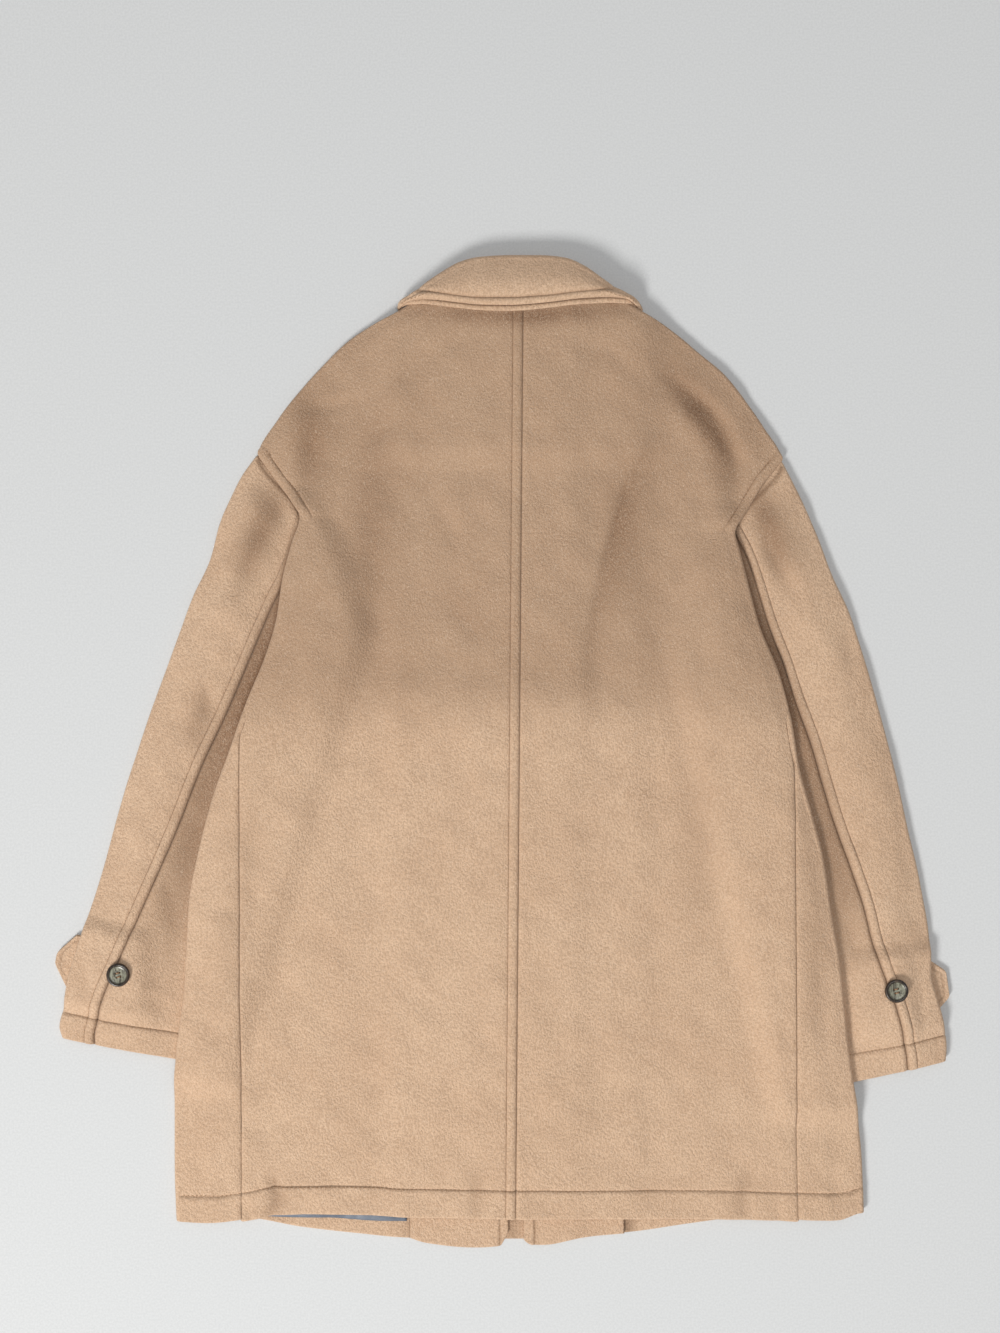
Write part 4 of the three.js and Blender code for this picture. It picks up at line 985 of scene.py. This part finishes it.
def drop(points, surface):
    """A line of x, y points at every third millimetre, each at the height of a surface's nearest point."""
    p = np.array(points, float)
    run = run_of(p)
    s = np.linspace(0, run[-1], max(8, int(run[-1] / 3)))
    line = np.stack([np.interp(s, run, p[:, 0]), np.interp(s, run, p[:, 1])], -1)
    flat = surface.reshape(-1, 3)
    near = [np.argmin(((flat[:, :2] - spot) ** 2).sum(axis=1)) for spot in line]
    return np.column_stack([line, flat[near, 2]])


# ---- materials ----
def linear(r, g, b):
    return tuple(((c / 255 + 0.055) / 1.055) ** 2.4 if c > 10 else c / 255 / 12.92 for c in (r, g, b))


class Shading:
    """A material's node tree, with the few kinds of node that the materials here are made of."""

    def __init__(self, name):
        self.material = bpy.data.materials.new(name)
        self.material.use_nodes = True
        self.tree = self.material.node_tree
        self.shader = self.tree.nodes["Principled BSDF"]
        self.place = self.node("TexCoord", out="Object")

    def put(self, socket, value):
        """Links a socket to another node's output, or sets its value."""
        if isinstance(value, bpy.types.NodeSocket):
            self.tree.links.new(value, socket)
        elif socket.type == "RGBA":
            socket.default_value = (*value, 1)
        else:
            socket.default_value = value

    def node(self, kind, inputs=(), out=0, **settings):
        made = self.tree.nodes.new("ShaderNode" + kind)
        for key, value in settings.items():
            setattr(made, key, value)
        for key, value in dict(inputs).items():
            self.put(made.inputs[key], value)
        return made.outputs[out]

    def noise(self, source, scale, detail=3.0, rough=0.6, distortion=0.0):
        inputs = {"Vector": source, "Scale": scale, "Detail": detail, "Roughness": rough,
                  "Distortion": distortion}
        return self.node("TexNoise", inputs, "Fac")

    def mapped(self, value, low, high, to_low=0, to_high=1):
        inputs = {"Value": value, "From Min": low, "From Max": high, "To Min": to_low, "To Max": to_high}
        return self.node("MapRange", inputs, "Result", interpolation_type="SMOOTHSTEP")

    def mixed(self, factor, a, b):
        return self.node("Mix", {0: factor, 6: a, 7: b}, 2, data_type="RGBA")

    def maths(self, operation, a, b):
        return self.node("Math", {0: a, 1: b}, operation=operation)

    def bump(self, height, strength, distance):
        return self.node("Bump", {"Height": height, "Strength": strength, "Distance": distance})

    def surface(self, **inputs):
        """Sets the shader's inputs, named with _ for a space, and returns the material."""
        for key, value in inputs.items():
            self.put(self.shader.inputs[key.replace("_", " ")], value)
        return self.material


def wool_material():
    m = Shading("camel_wool")
    brushed = m.node("Mapping", {"Scale": (1.0, 0.72, 1.0), "Vector": m.place})
    broad = m.noise(m.place, 9, 3, 0.55, 0.6)
    patch = m.noise(m.place, 42, 3, 0.6, 0.4)
    mottle = m.noise(brushed, 560, 2, 0.5)
    fibre = m.noise(brushed, 1300, 2, 0.6)
    base = m.mixed(m.mapped(broad, 0.32, 0.68), linear(216, 184, 154), linear(210, 177, 147))
    # painted shade in the cloth's hollows and creases, and a painted shadow under the collar, in a darker
    # camel
    painted_hollow_shade = m.maths("MULTIPLY", m.node("Attribute", out="Fac", attribute_name="painted_shade"), 0.9)
    base = m.mixed(painted_hollow_shade, base, linear(122, 90, 65))
    base = m.mixed(m.mapped(patch, 0.42, 0.66, 0, 0.16), base, linear(186, 152, 123))
    base = m.mixed(m.mapped(mottle, 0.4, 0.62, 0, 0.42), base, linear(170, 137, 110))
    base = m.mixed(m.mapped(fibre, 0.5, 0.68, 0, 0.42), base, linear(232, 210, 188))
    # painted shade in seam and stitching grooves and beside the edges of layers that lie over others
    painted_groove_shade = m.maths("MULTIPLY", m.node("Attribute", out="Fac", attribute_name="shade"), 0.78)
    base = m.mixed(painted_groove_shade, base, linear(104, 74, 51))
    height = m.maths("ADD", m.maths("MULTIPLY", mottle, 0.7), m.maths("MULTIPLY", fibre, 0.45))
    height = m.maths("ADD", height, m.maths("MULTIPLY", patch, 0.5))
    return m.surface(Base_Color=base, Roughness=m.mapped(mottle, 0.3, 0.7, 0.86, 0.98),
                     Specular_IOR_Level=0.15, Sheen_Weight=0.22, Sheen_Roughness=0.5,
                     Sheen_Tint=(1.0, 0.88, 0.74),
                     Normal=m.bump(height, 0.9, 0.0019))


def lining_material():
    m = Shading("twill_lining")
    twill = m.node("TexWave", {"Scale": 520, "Distortion": 1.5, "Vector": m.place}, "Fac",
                   bands_direction="DIAGONAL")
    patch = m.noise(m.place, 60, 3)
    base = m.mixed(m.mapped(patch, 0.35, 0.65), linear(112, 121, 134), linear(93, 102, 116))
    base = m.mixed(m.mapped(twill, 0.2, 0.8, 0, 0.35), base, linear(70, 78, 90))
    return m.surface(Base_Color=base, Roughness=m.mapped(patch, 0.3, 0.7, 0.42, 0.6),
                     Normal=m.bump(twill, 0.3, 0.0003))


def horn_material():
    m = Shading("horn")
    stretched = m.node("Mapping", {"Scale": (1.0, 0.22, 1.0), "Rotation": (0, 0, 0.5), "Vector": m.place})
    streak = m.noise(stretched, 330, 4, 0.65, 1.2)
    fleck = m.noise(m.place, 900, 2)
    centre = m.mixed(m.mapped(streak, 0.36, 0.62), linear(62, 56, 46), linear(146, 146, 128))
    centre = m.mixed(m.mapped(fleck, 0.55, 0.7, 0, 0.4), centre, linear(176, 170, 148))
    rim = m.mixed(m.mapped(streak, 0.4, 0.7), linear(34, 26, 21), linear(74, 58, 44))
    base = m.mixed(m.node("Attribute", out="Fac", attribute_name="shade"), rim, centre)
    return m.surface(Base_Color=base, Roughness=m.mapped(streak, 0.3, 0.7, 0.26, 0.42), Coat_Weight=0.25,
                     Coat_Roughness=0.2, Normal=m.bump(streak, 0.15, 0.0003))


def thread_material():
    m = Shading("thread")
    twist = m.noise(m.place, 1800, 2)
    base = m.mixed(m.mapped(twist, 0.35, 0.65), linear(170, 134, 102), linear(140, 106, 78))
    return m.surface(Base_Color=base, Roughness=0.8, Normal=m.bump(twist, 0.3, 0.0002))


def floor_material():
    m = Shading("floor")
    soft = m.noise(m.place, 500, 3)
    base = m.mixed(m.mapped(soft, 0.3, 0.7), linear(205, 207, 208), linear(213, 215, 216))
    return m.surface(Base_Color=base, Roughness=0.95)


WOOL = wool_material()
LINING_CLOTH = lining_material()
HORN = horn_material()
THREAD = thread_material()

def dish_share(point, x0, y0, z0):
    """1 on a button's dished middle, falling to 0 on its rim and underside."""
    if point.z <= z0 + 1:
        return 0.0
    return float(smooth((8.6 - math.hypot(point.x - x0, point.y - y0)) / 0.8))


# ---- the coat ----
SEAM_COLUMN = SEAM_STEPS.index(9.0)
tops = {}
for word, side in (("left", LEFT), ("right", RIGHT)):
    back, back_top, hem_rows = back_panel("back_panel_" + word, side)
    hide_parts("back_" + word)
    front, front_top, over_from = front_panel("front_panel_" + word, side)
    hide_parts("front_" + word)
    inside, inside_top = facing("front_facing_" + word, side)
    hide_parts("facing_" + word)
    frame_rows = sleeve_frame(side)
    top_sleeve, top_skin = sleeve_panel("top_sleeve_" + word, side, frame_rows, True)
    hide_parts("sleeve_top_" + word)
    under_sleeve, under_skin = sleeve_panel("under_sleeve_" + word, side, frame_rows, False)
    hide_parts("sleeve_under_" + word)
    end, _ = collar_end("collar_front_" + word, side)
    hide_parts("collar_end_" + word)
    tab, _ = cuff_tab("sleeve_tab_" + word, side)
    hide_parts("cuff_tab_" + word)
    x0, y0 = side["button"]
    sleeve_points = np.concatenate([top_skin.reshape(-1, 3), under_skin.reshape(-1, 3)])
    near = np.hypot(sleeve_points[:, 0] - x0, sleeve_points[:, 1] - y0) < 9
    z0 = np.sort(sleeve_points[near, 2])[-12:].mean() - 0.15
    made = button("horn_button_" + word, side, z0, 0.25)
    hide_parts("cuff_button_" + word)
    attributes = made.data.attributes
    dish = attributes.get("shade") or attributes.new("shade", "FLOAT", "POINT")
    dish.data.foreach_set("value", [dish_share(v.co / MM, x0, y0, z0) for v in made.data.vertices])
    tops[word] = dict(back=back_top, front=front_top, facing=inside_top, top=top_skin, under=under_skin,
                      hem=hem_rows, over=over_from, frame=frame_rows)
upper_collar, collar_top = collar_layer("upper_collar", True)
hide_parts("collar_upper")
under_collar, _ = collar_layer("under_collar", False)
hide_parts("collar_under")
strip, _ = lining("body_lining_left")
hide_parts("lining_left")

# ---- stitching ----
add_stitches(tops["left"]["back"][tops["left"]["hem"]:, SEAM_COLUMN])
for word, side in (("left", LEFT), ("right", RIGHT)):
    t = tops[word]
    row = t["hem"] + int(np.argmin(np.abs(body_rows() - HEM_Y - 24.6)))
    add_stitches(t["back"][row, :-7])
    add_stitches(t["front"][row - t["hem"], t["over"]:])
    add_stitches(t["top"][5:, SEAM_COLUMN])
    cuff_row = TUCKED_ROWS + int(np.argmin(np.abs(t["frame"]["from_cuff"] - 25)))
    add_stitches(t["top"][cuff_row, 1:30])
    add_stitches(t["under"][cuff_row, 1:24])
    seam = np.array([(p[1], p[0]) for p in side["armhole"][3:]], float)
    w = np.gradient(seam, axis=0)
    n = np.stack([-w[:, 1], w[:, 0]], -1)
    n /= np.linalg.norm(n, axis=1, keepdims=True)
    n *= np.where(n[:, :1] * side["out"] > 0, -1, 1)
    add_stitches(drop(seam + n * STITCH_IN, t["back"]))
    add_stitches(t["facing"][:9, SEAM_STEPS.index(8.4 if side["out"] < 0 else 10.3)])
add_stitches(collar_top[8:-8, 8])
stitching = make_object("topstitching", np.array(stitch_vertices), stitch_faces, THREAD)

# ---- floor, light, camera ----
mesh = bpy.data.meshes.new("floor")
mesh.from_pydata([(-4, -4, 0), (4, -4, 0), (4, 4, 0), (-4, 4, 0)], [], [(0, 1, 2, 3)])
mesh.materials.append(floor_material())
floor = bpy.data.objects.new("floor", mesh)
floor.location.z = -0.0002
bpy.context.collection.objects.link(floor)


def area_light(name, place, size, power, colour):
    """A round lamp that looks at the middle of the coat."""
    data = bpy.data.lights.new(name, "AREA")
    data.shape, data.size, data.energy, data.color = "DISK", size, power, colour
    lamp = bpy.data.objects.new(name, data)
    lamp.location = place
    x, y, z = place
    lamp.rotation_euler = (math.atan2(math.hypot(x, y), z), 0, math.atan2(x, -y))
    bpy.context.collection.objects.link(lamp)


area_light("key", (-2.3, -3.2, 3.0), 1.3, 208, (1.0, 0.985, 0.96))
area_light("fill", (0.5, 0.7, 4.4), 2.4, 58, (1.0, 0.99, 0.985))
world = bpy.data.worlds.new("studio")
world.use_nodes = True
sky = world.node_tree.nodes["Background"].inputs
sky["Color"].default_value = (1.0, 0.995, 0.99, 1)
sky["Strength"].default_value = 0.3
bpy.context.scene.world = world
bpy.context.scene.view_settings.view_transform = "Standard"

# straight above, as wide as VIEW_WIDTH at the height of the coat's upper face
CAMERA_HEIGHT = 1.5
COAT_LEVEL = 0.014
VIEW_WIDTH = 0.95
camera_data = bpy.data.cameras.new("camera")
camera_data.sensor_fit = "HORIZONTAL"
camera_data.sensor_width = 36
camera_data.lens = 36 * (CAMERA_HEIGHT - COAT_LEVEL) / VIEW_WIDTH
camera = bpy.data.objects.new("camera", camera_data)
camera.location = (-0.0019, 0.0817, CAMERA_HEIGHT)
bpy.context.collection.objects.link(camera)
bpy.context.scene.camera = camera
